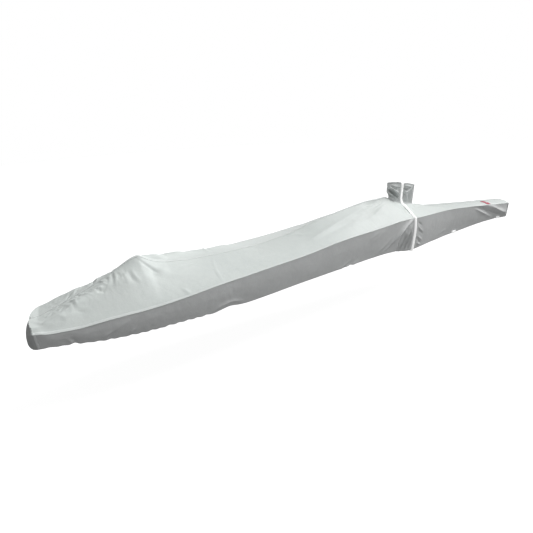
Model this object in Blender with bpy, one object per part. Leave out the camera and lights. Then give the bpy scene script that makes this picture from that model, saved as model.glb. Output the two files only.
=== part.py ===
"""Fitted cover for a long, narrow, one-person hull, sewn from coated polyester cloth.

Frame: metres, +X towards the bow, +Y to the port side, +Z up. The origin is on the
centreline, at the underside of the cloth where the mast foot holds the cover up.
Lengths in the tables are in millimetres, from the stern end of the hull and from
the level of the hull's flat bottom.
"""

import math
from collections import namedtuple

import bmesh
import bpy
from mathutils import Vector

MM = 0.001

# Driving sizes, in millimetres.
CLOTH = 2.0            # thickness of the coated cloth, with its seam allowance
GAP = 0.4              # clearance between two sewn pieces
HANG_X = 2195.0        # where the mast foot bears, from the stern
HANG_Z = 352.0         # underside of the cloth there, above the hull's bottom

STERN_CORNER = 45.0    # where the side panels end and the stern end panel begins
STERN_DEPTH = 14.0     # how far the stern end's top edge bulges aft of its corners
STERN_RAKE = 54.0      # how much farther aft its hem is
NOSE_CORNER = 3675.0   # the same at the bow
NOSE_DEPTH = 23.0
NOSE_RAKE = 0.0
STERN_POWER = 2.3      # squareness of the stern end seen from above: 2 is an ellipse
NOSE_POWER = 3.6
END_ANGLES = (12, 32, 52, 72, 90)   # degrees round each end, from its middle to its corner

HEM_RADIUS = 7.0       # the hem rolls under the hull's lower edge
HEM_RUN = 11.0         # flat part of the hem under the hull
HEM_TURNS = (45, 90, 90)   # degrees turned at each point of the rolled hem
BELLY = 4.0            # how far the sides bulge between their seam and their hem
SIDE_END_FADE = 60.0   # a side lies flat over this length at both of its ends

FOLD_END = 0.12        # of a fold's half wave, cut off at each of its ends
FOLD_EDGE_FADE = 0.12  # share of the beam over which the top's folds die out at the edge seam
FOLD_RIDGE_FADE = 8.0  # the same at the centre seam, in millimetres
FOLD_TOP_FADE = 0.10   # share of a side's depth over which its folds grow from the edge seam
SLOPE_STEP = 4.0       # the cloth's slope is taken over this distance
STEEPEST = 1.6         # most that a slope adds to the cloth's upright thickness

COLLAR_WALL = 1.3
COLLAR_FOLD = 0.35     # half the space left between its layers at its two folded edges
COLLAR_SEAT = 0.6      # clearance between its foot and the top
COLLAR_ROWS = 7

TIE_RADIUS = 5.5
TIE_CLEAR = 1.7        # between the tie and the cloth under it
TIE_SPACING = 30.0     # between its points where it runs straight
TIE_TURN = 20.0        # degrees between them where it bends
CURVE_STEPS = 24

TAB_LENGTH = 44.0
TAB_HEIGHT = 17.0
TAB_SHEET = 1.3
TAB_FOLD_GAP = 0.8
TAB_SEAT = 0.4
TAB_PLACES = (2922.0, 3539.0)

PATCH_X = (3378.0, 3414.0)   # both are stations of the top, so the patch lies on its facets
PATCH_COLUMNS = (1, 2, 3, 4, 5, 6)   # the patch spans these columns of the top
PATCH_SHEET = 1.0
PATCH_SEAT = 0.5

# One row for each section of the cover. beam: half the width. gunwale: height of the
# edge seam. hem: height of the lower edge. ridge: height on the centreline. A shoulder
# is where the top bends between its ridge and its edge: out is its place as a share of
# the beam, up its height as a share of the rise from the edge to the ridge.
Section = namedtuple(
    "Section", "x beam gunwale hem ridge near_out near_up far_out far_up")
SECTIONS = (
    Section(-20, 128, 102, 15, 105, 0.70, 1.00, 0.70, 1.00),
    Section(30, 138, 99, 17, 112, 0.76, 1.00, 0.76, 1.00),
    Section(100, 156, 90, 15, 133, 0.66, 1.00, 0.66, 1.00),
    Section(200, 177, 91, 7, 169, 0.48, 0.99, 0.48, 0.99),
    Section(300, 194, 101, -3, 208, 0.31, 0.97, 0.31, 0.97),
    Section(400, 208, 108, -6, 255, 0.20, 0.92, 0.20, 0.92),
    Section(470, 217, 111, -7, 293, 0.22, 0.77, 0.22, 0.78),
    Section(518, 221, 114, -7, 308, 0.28, 0.66, 0.16, 0.86),
    Section(570, 225, 118, -6, 272, 0.34, 0.66, 0.12, 1.11),
    Section(640, 229, 124, -5, 245, 0.42, 0.64, 0.20, 1.28),
    Section(730, 234, 135, -5, 232, 0.48, 0.58, 0.30, 1.28),
    Section(850, 236, 148, -8, 223, 0.50, 0.53, 0.45, 1.09),
    Section(1000, 236, 158, -2, 220, 0.50, 0.52, 0.62, 0.84),
    Section(1150, 233, 168, 4, 219, 0.50, 0.54, 0.68, 0.54),
    Section(1300, 229, 176, 11, 233, 0.50, 0.55, 0.60, 0.46),
    Section(1450, 223, 187, 15, 255, 0.50, 0.54, 0.52, 0.53),
    Section(1600, 216, 203, 18, 288, 0.50, 0.52, 0.50, 0.53),
    Section(1750, 208, 211, 20, 314, 0.50, 0.50, 0.50, 0.51),
    Section(1900, 199, 214, 21, 336, 0.48, 0.50, 0.48, 0.50),
    Section(2050, 191, 219, 19, 354, 0.42, 0.52, 0.42, 0.52),
    Section(2195, 184, 226, 10, 356, 0.36, 0.56, 0.36, 0.56),
    Section(2300, 178, 224, -1, 318, 0.38, 0.58, 0.38, 0.58),
    Section(2400, 170, 216, -3, 288, 0.42, 0.58, 0.42, 0.58),
    Section(2550, 146, 206, -4, 255, 0.48, 0.56, 0.48, 0.56),
    Section(2700, 121, 197, -8, 221, 0.52, 0.56, 0.52, 0.56),
    Section(2850, 102, 186, -8, 200, 0.55, 0.60, 0.55, 0.60),
    Section(3050, 91, 168, -4, 181, 0.58, 0.64, 0.58, 0.64),
    Section(3300, 87, 144, 6, 158, 0.60, 0.68, 0.60, 0.68),
    Section(3500, 87, 123, 7, 141, 0.60, 0.70, 0.60, 0.70),
    Section(3655, 87, 109, -3, 126, 0.60, 0.74, 0.60, 0.74),
    Section(3720, 86, 104, -6, 120, 0.60, 0.74, 0.60, 0.74),
)

# Where the cloth is measured out along the hull: closer together at its folds.
STATIONS = (
    90, 150, 210, 270, 330, 390, 440, 480, 518, 545, 575, 610, 660, 720, 790, 850,
    880, 896, 912, 945, 1000, 1075, 1150, 1225, 1300, 1375, 1450, 1525, 1600, 1675,
    1750, 1825, 1890, 1950, 2005, 2055, 2105, 2150, 2195, 2222, 2248, 2274, 2300,
    2322, 2345, 2372, 2400, 2430, 2465, 2510, 2560, 2620, 2690, 2770, 2850, 2930,
    3010, 3090, 3170, 3240, 3300, 3345, 3378, 3414, 3460, 3510, 3560, 3615)
DECK_SHARES = (0.0, 0.13, 0.28, 0.44, 0.60, 0.76, 0.90, 1.0)
SIDE_SHARES = (0.0, 0.22, 0.45, 0.70, 1.0)

# Main folds of the top. Each runs from one point to the other as a soft ridge, or as a
# trough where its height is below zero. y is out from the centreline.
DeckFold = namedtuple("DeckFold", "side x0 y0 x1 y1 height width")
DECK_FOLDS = (
    DeckFold(-1, 506, 12, 600, 95, -7, 17),
    DeckFold(-1, 540, 6, 640, 70, 5, 17),
    DeckFold(-1, 55, 118, 210, 108, 5, 20),
    DeckFold(-1, 150, 40, 260, 66, 5, 18),
    DeckFold(-1, 270, 18, 330, 60, -5, 20),
    DeckFold(-1, 917, 20, 889, 225, 6, 11),
    DeckFold(-1, 2150, 22, 2010, 34, -6, 15),
    DeckFold(-1, 2140, 42, 1850, 84, 7, 17),
    DeckFold(-1, 2165, 62, 1985, 112, 6, 16),
    DeckFold(-1, 3360, 30, 3520, 66, -4, 14),
    DeckFold(1, 240, 70, 330, 30, -5, 20),
    DeckFold(1, 905, 30, 885, 210, 5, 11),
    DeckFold(1, 2140, 36, 1880, 80, 7, 17),
    DeckFold(1, 2170, 60, 1990, 115, 5, 16),
)

# Main folds of the sides. down is the share of the way from the edge seam to the hem.
SideFold = namedtuple("SideFold", "side x0 down0 x1 down1 height width")
SIDE_FOLDS = (
    SideFold(-1, 2300, 0.12, 2175, 0.95, 8, 15),
    SideFold(-1, 2328, 0.15, 2228, 1.0, 9, 14),
    SideFold(-1, 2340, 0.30, 2282, 1.0, 7, 12),
    SideFold(-1, 896, 0.10, 890, 0.80, 5, 13),
    SideFold(-1, 3260, 0.10, 3530, 0.85, -6, 24),
    SideFold(-1, 3390, 0.10, 3640, 0.80, 7, 22),
    SideFold(-1, 150, 0.40, 170, 1.0, -5, 18),
    SideFold(1, 2302, 0.12, 2190, 0.95, 8, 15),
    SideFold(1, 2334, 0.20, 2252, 1.0, 8, 14),
    SideFold(1, 3280, 0.10, 3540, 0.85, -6, 24),
    SideFold(1, 3410, 0.10, 3640, 0.80, 6, 22),
)

# The hem rises a little over a stretch of the starboard side.
HEM_ARCH_X = 886.0
HEM_ARCH_LENGTH = 62.0
HEM_ARCH_RISE = 16.0

# The sleeve, from its aft edge forward. half: half of its thickness. sway: how far its
# upper edge leans out to port. top: height of that edge.
CollarPlace = namedtuple("CollarPlace", "x half sway top")
COLLAR_PLACES = (
    CollarPlace(2226, 2.2, 3, 452),
    CollarPlace(2246, 2.9, -5, 453),
    CollarPlace(2278, 3.2, -10, 450),
    CollarPlace(2312, 3.2, 2, 445),
    CollarPlace(2344, 3.0, 8, 440),
    CollarPlace(2362, 2.6, 4, 430),
    CollarPlace(2373, 2.4, 0, 424),
    CollarPlace(2384, 2.6, -4, 427),
    CollarPlace(2404, 3.0, -8, 427),
    CollarPlace(2436, 3.2, 1, 422),
    CollarPlace(2470, 3.2, 8, 414),
    CollarPlace(2494, 2.8, 3, 408),
    CollarPlace(2508, 2.2, -2, 404),
)

# The tie's route on one side, from the sleeve down to the middle of the hull's bottom.
# It is the same on the other side.
TieOnSleeve = namedtuple("TieOnSleeve", "x out height")
TIE_ON_SLEEVE = (
    TieOnSleeve(2373, 7.6, 429.0),
    TieOnSleeve(2373, 10.2, 416.0),
    TieOnSleeve(2373, 9.0, 385.0),
    TieOnSleeve(2373, 9.0, 350.0),
    TieOnSleeve(2373.5, 10.6, 324.0),
    TieOnSleeve(2374, 17.2, 304.5),
)
TIE_OVER_TOP = 431.9         # its height where it crosses the sleeve
TieOnDeck = namedtuple("TieOnDeck", "x out")
TIE_ON_DECK = (
    TieOnDeck(2374, 34.0),
    TieOnDeck(2371, 62.0),
    TieOnDeck(2368, 93.0),
    TieOnDeck(2364, 122.0),
    TieOnDeck(2358, 145.0),
)
TIE_SIDE_X = 2350            # where the beam, edge seam and hem beside the tie are read
# out: from the edge seam's line outwards. up: from the edge seam's height.
TieOnSide = namedtuple("TieOnSide", "x out up")
TIE_ON_SIDE = (
    TieOnSide(2352, -8.0, 10.6),
    TieOnSide(2350, 6.0, 4.0),
    TieOnSide(2350, 10.5, -10.0),
    TieOnSide(2352, 12.0, -45.0),
    TieOnSide(2355, 13.0, -90.0),
    TieOnSide(2356, 13.0, -130.0),
    TieOnSide(2355, 13.0, -170.0),
)
# out: from the edge seam's line outwards. up: from the hem's height.
TieUnder = namedtuple("TieUnder", "x out up")
TIE_UNDER = (
    TieUnder(2352, 11.0, 20.0),
    TieUnder(2350, 6.0, -2.5),
    TieUnder(2350, -8.0, -8.0),
    TieUnder(2350, -60.0, -8.5),
    TieUnder(2350, -124.0, -8.5),
)

SIDE_NAMES = {-1: "starboard", 1: "port"}


# ---- The shape of the cloth ---------------------------------------------------------

def column(name, x):
    """One column of SECTIONS at x, on a smooth curve through its rows."""
    rows = SECTIONS
    k = 0
    while k < len(rows) - 2 and x > rows[k + 1].x:
        k += 1
    a, b = rows[k], rows[k + 1]
    before, after = rows[max(k - 1, 0)], rows[min(k + 2, len(rows) - 1)]
    p0, p1, p2, p3 = (getattr(r, name) for r in (before, a, b, after))
    span = b.x - a.x
    rise = (p2 - p1) / span
    start = limited((p2 - p0) / max(b.x - before.x, 1.0), slope(before, a, name), rise)
    end = limited((p3 - p1) / max(after.x - a.x, 1.0), rise, slope(b, after, name))
    t = min(max((x - a.x) / span, 0.0), 1.0)
    return (p1 * (1 + 2 * t) * (1 - t) ** 2 + p2 * t * t * (3 - 2 * t)
            + span * (start * t * (1 - t) ** 2 - end * t * t * (1 - t)))


def slope(a, b, name):
    return (getattr(b, name) - getattr(a, name)) / max(b.x - a.x, 1.0)


def limited(wanted, left, right):
    """A tangent that never overshoots its two neighbouring slopes."""
    if left * right <= 0:
        return 0.0
    most = 3 * min(abs(left), abs(right))
    return math.copysign(min(abs(wanted), most), left)


def along_fold(px, py, x0, y0, x1, y1):
    """How far a point is from a fold's line, and how strong the fold is beside it."""
    dx, dy = x1 - x0, y1 - y0
    length = math.hypot(dx, dy)
    t = ((px - x0) * dx + (py - y0) * dy) / (length * length)
    inside = min(max(t, 0.0), 1.0)
    away = math.hypot(px - x0 - inside * dx, py - y0 - inside * dy)
    strength = math.sin(math.pi * (FOLD_END + (1 - 2 * FOLD_END) * inside))
    return away, strength


def deck_height(x, y):
    """Height of the outer face of the top."""
    side = -1 if y < 0 else 1
    out, up = ("near_out", "near_up") if side < 0 else ("far_out", "far_up")
    beam = column("beam", x)
    gunwale = column("gunwale", x)
    rise = column("ridge", x) - gunwale
    share = abs(y) / beam
    bend, lift = column(out, x), column(up, x)
    if share < bend:
        level = 1 + (lift - 1) * share / bend
    else:
        level = lift * (1 - share) / (1 - bend)
    height = gunwale + rise * level
    edge = min(1.0, max(0.0, (1 - share) / FOLD_EDGE_FADE))
    middle = min(1.0, abs(y) / FOLD_RIDGE_FADE)
    for fold in DECK_FOLDS:
        if fold.side == side:
            away, strength = along_fold(x, abs(y), fold.x0, fold.y0, fold.x1, fold.y1)
            height += (fold.height * strength * edge * middle
                       * math.exp(-((away / fold.width) ** 2)))
    return height


def deck_underside(x, y):
    """Height of the inner face of the top, one cloth below the outer one."""
    inward = -SLOPE_STEP if y > 0 else SLOPE_STEP
    dx = (deck_height(x + SLOPE_STEP, y) - deck_height(x - SLOPE_STEP, y)) / (2 * SLOPE_STEP)
    dy = (deck_height(x, y + inward) - deck_height(x, y)) / inward
    steep = min(math.sqrt(1 + dx * dx + dy * dy), STEEPEST)
    return deck_height(x, y) - CLOTH * steep


def hem_height(x, side):
    arch = HEM_ARCH_RISE * math.exp(-(((x - HEM_ARCH_X) / HEM_ARCH_LENGTH) ** 2))
    return column("hem", x) + (arch if side < 0 else 0.0)


def side_bulge(x, side, down):
    """How far a side stands out from its straight line, at a share of the way down."""
    bulge = BELLY * math.sin(math.pi * down)
    depth = column("gunwale", x) - column("hem", x)
    fade = min(1.0, down / FOLD_TOP_FADE)
    for fold in SIDE_FOLDS:
        if fold.side == side:
            away, strength = along_fold(
                x, down * depth, fold.x0, fold.down0 * depth, fold.x1, fold.down1 * depth)
            bulge += fold.height * strength * fade * math.exp(-((away / fold.width) ** 2))
    return bulge


def end_outline(corner, depth, beam, squareness, direction, degrees, out):
    """A point of a rounded end seen from above, moved out from the cloth's middle."""
    power = 2.0 / squareness
    angle = math.radians(abs(degrees))
    x = corner + direction * (depth + out) * math.cos(angle) ** power
    y = (beam + out) * math.sin(angle) ** power
    return x, math.copysign(y, degrees)


def stern_outline(degrees, out):
    beam = column("beam", STERN_CORNER)
    return end_outline(STERN_CORNER, STERN_DEPTH, beam, STERN_POWER, -1, degrees, out)


def nose_outline(degrees, out):
    beam = column("beam", NOSE_CORNER)
    return end_outline(NOSE_CORNER, NOSE_DEPTH, beam, NOSE_POWER, 1, degrees, out)


def hull_point(x, y, z):
    """From the tables' millimetres to metres in the part's frame."""
    return Vector(((x - HANG_X) * MM, y * MM, (z - HANG_Z) * MM))


# ---- Making pieces ------------------------------------------------------------------

def material(name, colour, roughness):
    made = bpy.data.materials.new(name)
    made.use_nodes = True
    shader = made.node_tree.nodes["Principled BSDF"]
    shader.inputs["Base Color"].default_value = (*colour, 1.0)
    shader.inputs["Roughness"].default_value = roughness
    shader.inputs["Metallic"].default_value = 0.0
    return made


def add_object(name, data, finish):
    made = bpy.data.objects.new(name, data)
    made.data.materials.append(finish)
    bpy.context.scene.collection.objects.link(made)
    return made


def solid_object(name, bm, finish):
    """The finished object of a closed bmesh, with its faces pointing out."""
    bmesh.ops.recalc_face_normals(bm, faces=bm.faces)
    if bm.calc_volume(signed=True) < 0:
        bmesh.ops.reverse_faces(bm, faces=bm.faces)
    mesh = bpy.data.meshes.new(name)
    bm.to_mesh(mesh)
    bm.free()
    return add_object(name, mesh, finish)


def sheet(name, along, across, place, finish):
    """A thin closed solid: a grid given thickness, then laid out by place.

    place(i, j, layer) gives the point at step i along and j across, on the outer
    face where layer is 0 and on the inner one where it is 1.
    """
    bm = bmesh.new()
    bmesh.ops.create_grid(bm, x_segments=along, y_segments=across, size=0.5)
    extruded = bmesh.ops.extrude_face_region(bm, geom=bm.faces[:])
    lower = [v for v in extruded["geom"] if isinstance(v, bmesh.types.BMVert)]
    bmesh.ops.translate(bm, verts=lower, vec=(0, 0, -1))
    for v in bm.verts:
        i = round((v.co.x + 0.5) * along)
        j = round((v.co.y + 0.5) * across)
        layer = 0 if v.co.z > -0.5 else 1
        v.co = place(i, j, layer)
    return solid_object(name, bm, finish)


def profile(top, hem, bulge, j, layer):
    """One point of a side's upright section: its offset from the outline and its height.

    The first points go down the side. The others follow the hem as it rolls under, and
    the last one ends its flat part.
    """
    middle = (0.5 - layer) * CLOTH
    roll_height = hem + HEM_RADIUS + CLOTH / 2
    if j < len(SIDE_SHARES):
        down = SIDE_SHARES[j]
        return middle + bulge(down), top + (roll_height - top) * down
    turned = math.radians(HEM_TURNS[j - len(SIDE_SHARES)])
    radius = HEM_RADIUS + middle
    run = HEM_RUN if j == PROFILE_STEPS else 0.0
    return (radius * math.cos(turned) - HEM_RADIUS - run + bulge(1.0),
            roll_height - radius * math.sin(turned))


PROFILE_STEPS = len(SIDE_SHARES) + len(HEM_TURNS) - 1


def make_deck_panel(side, finish):
    """Half of the top, from the centre seam to the edge seam and from end to end."""
    rows = ([stern_outline(a, CLOTH / 2) for a in END_ANGLES]
            + [(x, column("beam", x) + CLOTH / 2) for x in STATIONS]
            + [nose_outline(a, CLOTH / 2) for a in reversed(END_ANGLES)])

    def place(i, j, layer):
        x, reach = rows[i]
        y = side * (GAP / 2 + DECK_SHARES[j] * (reach - GAP / 2))
        z = deck_underside(x, y) if layer else deck_height(x, y)
        return hull_point(x, y, z)

    return sheet("deck_panel_" + SIDE_NAMES[side], len(rows) - 1, len(DECK_SHARES) - 1,
                 place, finish)


def make_side_panel(side, finish):
    """A long side strip, from the edge seam to the hem, which rolls under the hull."""
    xs = [STERN_CORNER + GAP / 2, *STATIONS, NOSE_CORNER - GAP / 2]

    def place(i, j, layer):
        x = xs[i]
        beam = column("beam", x)
        top = deck_underside(x, side * (beam + CLOTH / 2)) - GAP
        ends = min(1.0, (x - xs[0]) / SIDE_END_FADE, (xs[-1] - x) / SIDE_END_FADE)

        def bulge(down):
            return side_bulge(x, side, down) * ends

        out, z = profile(top, hem_height(x, side), bulge, j, layer)
        return hull_point(x, side * (beam + out), z)

    return sheet("side_panel_" + SIDE_NAMES[side], len(xs) - 1, PROFILE_STEPS,
                 place, finish)


def make_end_panel(name, outline, corner, direction, rake, finish):
    """The piece that closes one end, sewn to the top and to both sides."""
    angles = [-a for a in reversed(END_ANGLES)] + list(END_ANGLES)

    def place(i, j, layer):
        outer, inner = outline(angles[i], CLOTH / 2), outline(angles[i], -CLOTH)
        top = min(deck_underside(*outer), deck_underside(*inner)) - 2 * GAP
        hem = column("hem", outer[0])
        out, z = profile(top, hem, lambda down: 0.0, j, layer)
        x, y = outline(angles[i], out)
        down = min((top - z) / (top - hem), 1.0)
        x += direction * rake * math.cos(math.radians(angles[i])) * math.sqrt(down * (2 - down))
        if abs(angles[i]) == 90:
            x = corner + direction * GAP / 2
        return hull_point(x, y, z)

    return sheet(name, len(angles) - 1, PROFILE_STEPS, place, finish)


# ---- The sleeve over the mast foot --------------------------------------------------

def ring_wall(name, steps, rows, place, finish):
    """A closed wall that runs all the way round: its section is spun, then laid out.

    place(step, row, layer) gives the point at a step round and a row up, on the outer
    face where layer is 0 and on the inner one where it is 1.
    """
    inner, outer = 1, 2
    bm = bmesh.new()
    corners = [(outer, row) for row in range(rows)] + [(inner, row) for row in reversed(range(rows))]
    section = [bm.verts.new((reach, 0, row)) for reach, row in corners]
    edges = [bm.edges.new(pair) for pair in zip(section, section[1:] + section[:1])]
    bmesh.ops.spin(bm, geom=section + edges, cent=(0, 0, 0), axis=(0, 0, 1),
                   angle=math.tau, steps=steps, use_merge=True)
    for v in bm.verts:
        step = round(math.atan2(v.co.y, v.co.x) / math.tau * steps) % steps
        layer = 0 if math.hypot(v.co.x, v.co.y) > (inner + outer) / 2 else 1
        v.co = place(step, round(v.co.z), layer)
    return solid_object(name, bm, finish)


def make_collar(finish):
    """A sleeve pressed flat fore and aft, open at its top and at its foot."""
    count = len(COLLAR_PLACES)

    def place(step, row, layer):
        face = 1 if step < count else -1
        k = step if step < count else 2 * count - 1 - step
        at = COLLAR_PLACES[k]
        share = row / (COLLAR_ROWS - 1)
        half = max(at.half - layer * COLLAR_WALL, COLLAR_FOLD)
        x = at.x
        if k == 0:
            x += layer * COLLAR_WALL
        if k == count - 1:
            x -= layer * COLLAR_WALL
        foot = max(deck_height(at.x, out) for out in (-at.half, GAP, at.half)) + COLLAR_SEAT
        return hull_point(x, face * half + at.sway * share, foot + (at.top - foot) * share)

    return ring_wall("mast_collar", 2 * count, COLLAR_ROWS, place, finish)


# ---- The tie ------------------------------------------------------------------------

def smooth_loop(points, spacing, most_turn):
    """Points on a closed smooth curve through the given ones, closer where it bends."""
    fine = []
    count = len(points)
    for k in range(count):
        p0, p1, p2, p3 = (points[(k + d) % count] for d in (-1, 0, 1, 2))
        for step in range(CURVE_STEPS):
            t = step / CURVE_STEPS
            fine.append(0.5 * (2 * p1 + (p2 - p0) * t
                               + (2 * p0 - 5 * p1 + 4 * p2 - p3) * t * t
                               + (3 * p1 - p0 - 3 * p2 + p3) * t ** 3))
    kept, walked, turned = [fine[0]], 0.0, 0.0
    for k in range(1, len(fine) - 1):
        before, after = fine[k] - fine[k - 1], fine[k + 1] - fine[k]
        walked += before.length
        turned += before.angle(after)
        if walked >= spacing or turned >= most_turn:
            kept.append(fine[k])
            walked, turned = 0.0, 0.0
    if walked < spacing / 3:
        kept.pop()
    return kept


def tie_route():
    """The tie's own points: over the sleeve, down the top and the side, and underneath."""
    off = TIE_RADIUS + TIE_CLEAR
    beam = column("beam", TIE_SIDE_X)
    seam = column("gunwale", TIE_SIDE_X)
    hem = hem_height(TIE_SIDE_X, -1)
    half = ([tuple(p) for p in TIE_ON_SLEEVE]
            + [(p.x, p.out, deck_height(p.x, -p.out) + off) for p in TIE_ON_DECK]
            + [(p.x, beam + p.out, seam + p.up) for p in TIE_ON_SIDE]
            + [(p.x, beam + p.out, hem + p.up) for p in TIE_UNDER])
    route = ([(TIE_ON_SLEEVE[0].x, 0.0, TIE_OVER_TOP)] + half
             + [(x, -y, z) for x, y, z in reversed(half)])
    return [hull_point(x, -y, z) for x, y, z in route]


def make_tie(finish):
    curve = bpy.data.curves.new("tie_loop", "CURVE")
    curve.dimensions = "3D"
    curve.bevel_depth = TIE_RADIUS * MM
    curve.bevel_resolution = 2
    spline = curve.splines.new("POLY")
    points = smooth_loop(tie_route(), TIE_SPACING * MM, math.radians(TIE_TURN))
    spline.points.add(len(points) - 1)
    for target, point in zip(spline.points, points):
        target.co = (*point, 1.0)
    spline.use_cyclic_u = True
    return add_object("tie_loop", curve, finish)


# ---- Tabs and patch -----------------------------------------------------------------

def side_proud(side, aft, fore):
    """How far the lowest flat of a side's cloth stands out over a stretch of the hem."""
    above, below = SIDE_SHARES[-2:]
    middle = (aft + fore) / 2
    depth = column("gunwale", middle) - hem_height(middle, side)
    tab_top = 1 - (TAB_HEIGHT + TAB_SEAT - HEM_RADIUS) / depth
    share = (tab_top - above) / (below - above)
    stretch = [at for at in STATIONS if abs(at - middle) < TAB_LENGTH] + [aft, middle, fore]
    foot = max(side_bulge(at, side, below) for at in stretch)
    top = max(side_bulge(at, side, above) * (1 - share) + side_bulge(at, side, below) * share
              for at in stretch)
    return max(foot, top)


def make_hem_tab(side, x, index, finish):
    """Webbing folded double and sewn on the outside of the hem."""
    aft, fore = x - TAB_LENGTH / 2, x + TAB_LENGTH / 2
    face = CLOTH / 2 + side_proud(side, aft, fore) + TAB_SEAT
    depth = 2 * TAB_SHEET + TAB_FOLD_GAP
    floor = TAB_SHEET + TAB_FOLD_GAP / 2
    section = (
        (0, TAB_HEIGHT), (0, TAB_SHEET), (TAB_SHEET, 0), (depth - TAB_SHEET, 0),
        (depth, TAB_SHEET), (depth, TAB_HEIGHT), (depth - TAB_SHEET, TAB_HEIGHT),
        (depth - TAB_SHEET, floor), (TAB_SHEET, floor), (TAB_SHEET, TAB_HEIGHT))
    bm = bmesh.new()
    low = hem_height(aft, side) + TAB_SEAT
    beam = column("beam", aft)
    end = [bm.verts.new(hull_point(aft, side * (beam + face + out), low + up))
           for out, up in section]
    extruded = bmesh.ops.extrude_face_region(bm, geom=[bm.faces.new(end)])
    moved = [v for v in extruded["geom"] if isinstance(v, bmesh.types.BMVert)]
    along = (hull_point(fore, side * column("beam", fore), hem_height(fore, side))
             - hull_point(aft, side * beam, hem_height(aft, side)))
    bmesh.ops.translate(bm, verts=moved, vec=along)
    return solid_object(f"hem_tab_{SIDE_NAMES[side]}_{index}", bm, finish)


def make_bow_patch(finish):
    """A plain sewn patch on the near half of the foredeck."""
    def place(i, j, layer):
        x = PATCH_X[i]
        reach = column("beam", x) + CLOTH / 2
        y = -(GAP / 2 + DECK_SHARES[PATCH_COLUMNS[j]] * (reach - GAP / 2))
        z = deck_height(x, y) + PATCH_SEAT + (0 if layer else PATCH_SHEET)
        return hull_point(x, y, z)

    return sheet("bow_patch", len(PATCH_X) - 1, len(PATCH_COLUMNS) - 1, place, finish)


def build():
    for old in list(bpy.data.objects):
        bpy.data.objects.remove(old, do_unlink=True)
    for side in (-1, 1):
        label = SIDE_NAMES[side]
        make_deck_panel(side, material("deck_cloth_" + label, (0.62, 0.68, 0.66), 0.55))
        make_side_panel(side, material("side_cloth_" + label, (0.50, 0.54, 0.53), 0.55))
        for index, x in enumerate(TAB_PLACES, 1):
            make_hem_tab(side, x, index, material(f"tab_{label}_{index}", (0.85, 0.86, 0.85), 0.6))
    make_end_panel("stern_end_panel", stern_outline, STERN_CORNER, -1, STERN_RAKE,
                   material("stern_cloth", (0.46, 0.50, 0.49), 0.55))
    make_end_panel("nose_end_panel", nose_outline, NOSE_CORNER, 1, NOSE_RAKE,
                   material("nose_cloth", (0.50, 0.54, 0.53), 0.55))
    make_collar(material("collar_cloth", (0.48, 0.52, 0.51), 0.55))
    make_tie(material("white_cord", (0.90, 0.90, 0.89), 0.6))
    make_bow_patch(material("patch_cloth", (0.42, 0.05, 0.08), 0.6))


build()
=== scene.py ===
"""A fitted cover of coated polyester, drawn over a long narrow one-person hull.

Lengths are in metres. The cover's own frame has +X towards the bow, +Y to port and +Z
up, with its origin under the cloth where the mast foot bears. The tables measure x from
the stern and z from the hull's flat bottom.
"""

import math
from collections import namedtuple

import bmesh
import bpy
import numpy as np
from mathutils import Matrix, Vector, noise


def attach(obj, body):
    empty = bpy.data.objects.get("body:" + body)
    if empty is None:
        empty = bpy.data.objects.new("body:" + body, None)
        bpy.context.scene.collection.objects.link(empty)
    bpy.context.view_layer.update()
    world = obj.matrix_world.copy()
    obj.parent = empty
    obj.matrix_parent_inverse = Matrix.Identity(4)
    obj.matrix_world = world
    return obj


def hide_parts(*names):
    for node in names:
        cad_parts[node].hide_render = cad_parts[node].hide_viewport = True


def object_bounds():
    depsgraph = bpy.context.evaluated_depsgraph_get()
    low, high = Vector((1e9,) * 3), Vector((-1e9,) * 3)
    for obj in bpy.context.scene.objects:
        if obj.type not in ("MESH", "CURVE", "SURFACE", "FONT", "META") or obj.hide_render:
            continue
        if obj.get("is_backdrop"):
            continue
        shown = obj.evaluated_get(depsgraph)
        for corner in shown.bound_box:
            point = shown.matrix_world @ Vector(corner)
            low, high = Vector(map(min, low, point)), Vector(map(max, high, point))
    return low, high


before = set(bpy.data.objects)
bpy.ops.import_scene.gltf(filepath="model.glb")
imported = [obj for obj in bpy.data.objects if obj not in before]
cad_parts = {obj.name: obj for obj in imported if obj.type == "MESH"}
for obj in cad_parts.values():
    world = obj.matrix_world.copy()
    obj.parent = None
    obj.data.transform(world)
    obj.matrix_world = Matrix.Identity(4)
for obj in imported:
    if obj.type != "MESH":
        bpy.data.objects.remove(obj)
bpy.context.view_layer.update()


# ---- View ---------------------------------------------------------------------------
# The camera stands low off the starboard quarter, so that the long side runs away to the
# right. Its place and its lens were fitted to the hull's outline.

CAMERA_PLACE = (-1.8856, -1.7343, 0.5728)
CAMERA_RIGHT = (0.87073, -0.49011, -0.04029)
CAMERA_UP = (0.22868, 0.33102, 0.91549)
CAMERA_SENSOR = 36.0
CAMERA_LENS = 23.64

view = bpy.data.cameras.new("view")
view.sensor_width = CAMERA_SENSOR
view.lens = CAMERA_LENS
view.clip_end = 100.0
camera = bpy.data.objects.new("view", view)
bpy.context.scene.collection.objects.link(camera)
right, upward = Vector(CAMERA_RIGHT).normalized(), Vector(CAMERA_UP).normalized()
camera.matrix_world = (Matrix.Translation(CAMERA_PLACE)
                       @ Matrix((right, upward, right.cross(upward))).transposed().to_4x4())
bpy.context.scene.camera = camera


# ---- The top ------------------------------------------------------------------------
# Two halves of pale coated polyester are sewn together along the centreline. The cloth is
# tented over two high points of the hull, and sags and creases between them.

STERN_X, BOTTOM_Z = -2.195, -0.352   # the stern and the flat bottom in the cover's frame
BASE = (STERN_X, 0, BOTTOM_Z)
CLOTH = 0.0010
SEAM_GAP = 0.0004
CELL = 0.008                         # spacing of the cloth's points along the hull
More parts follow.
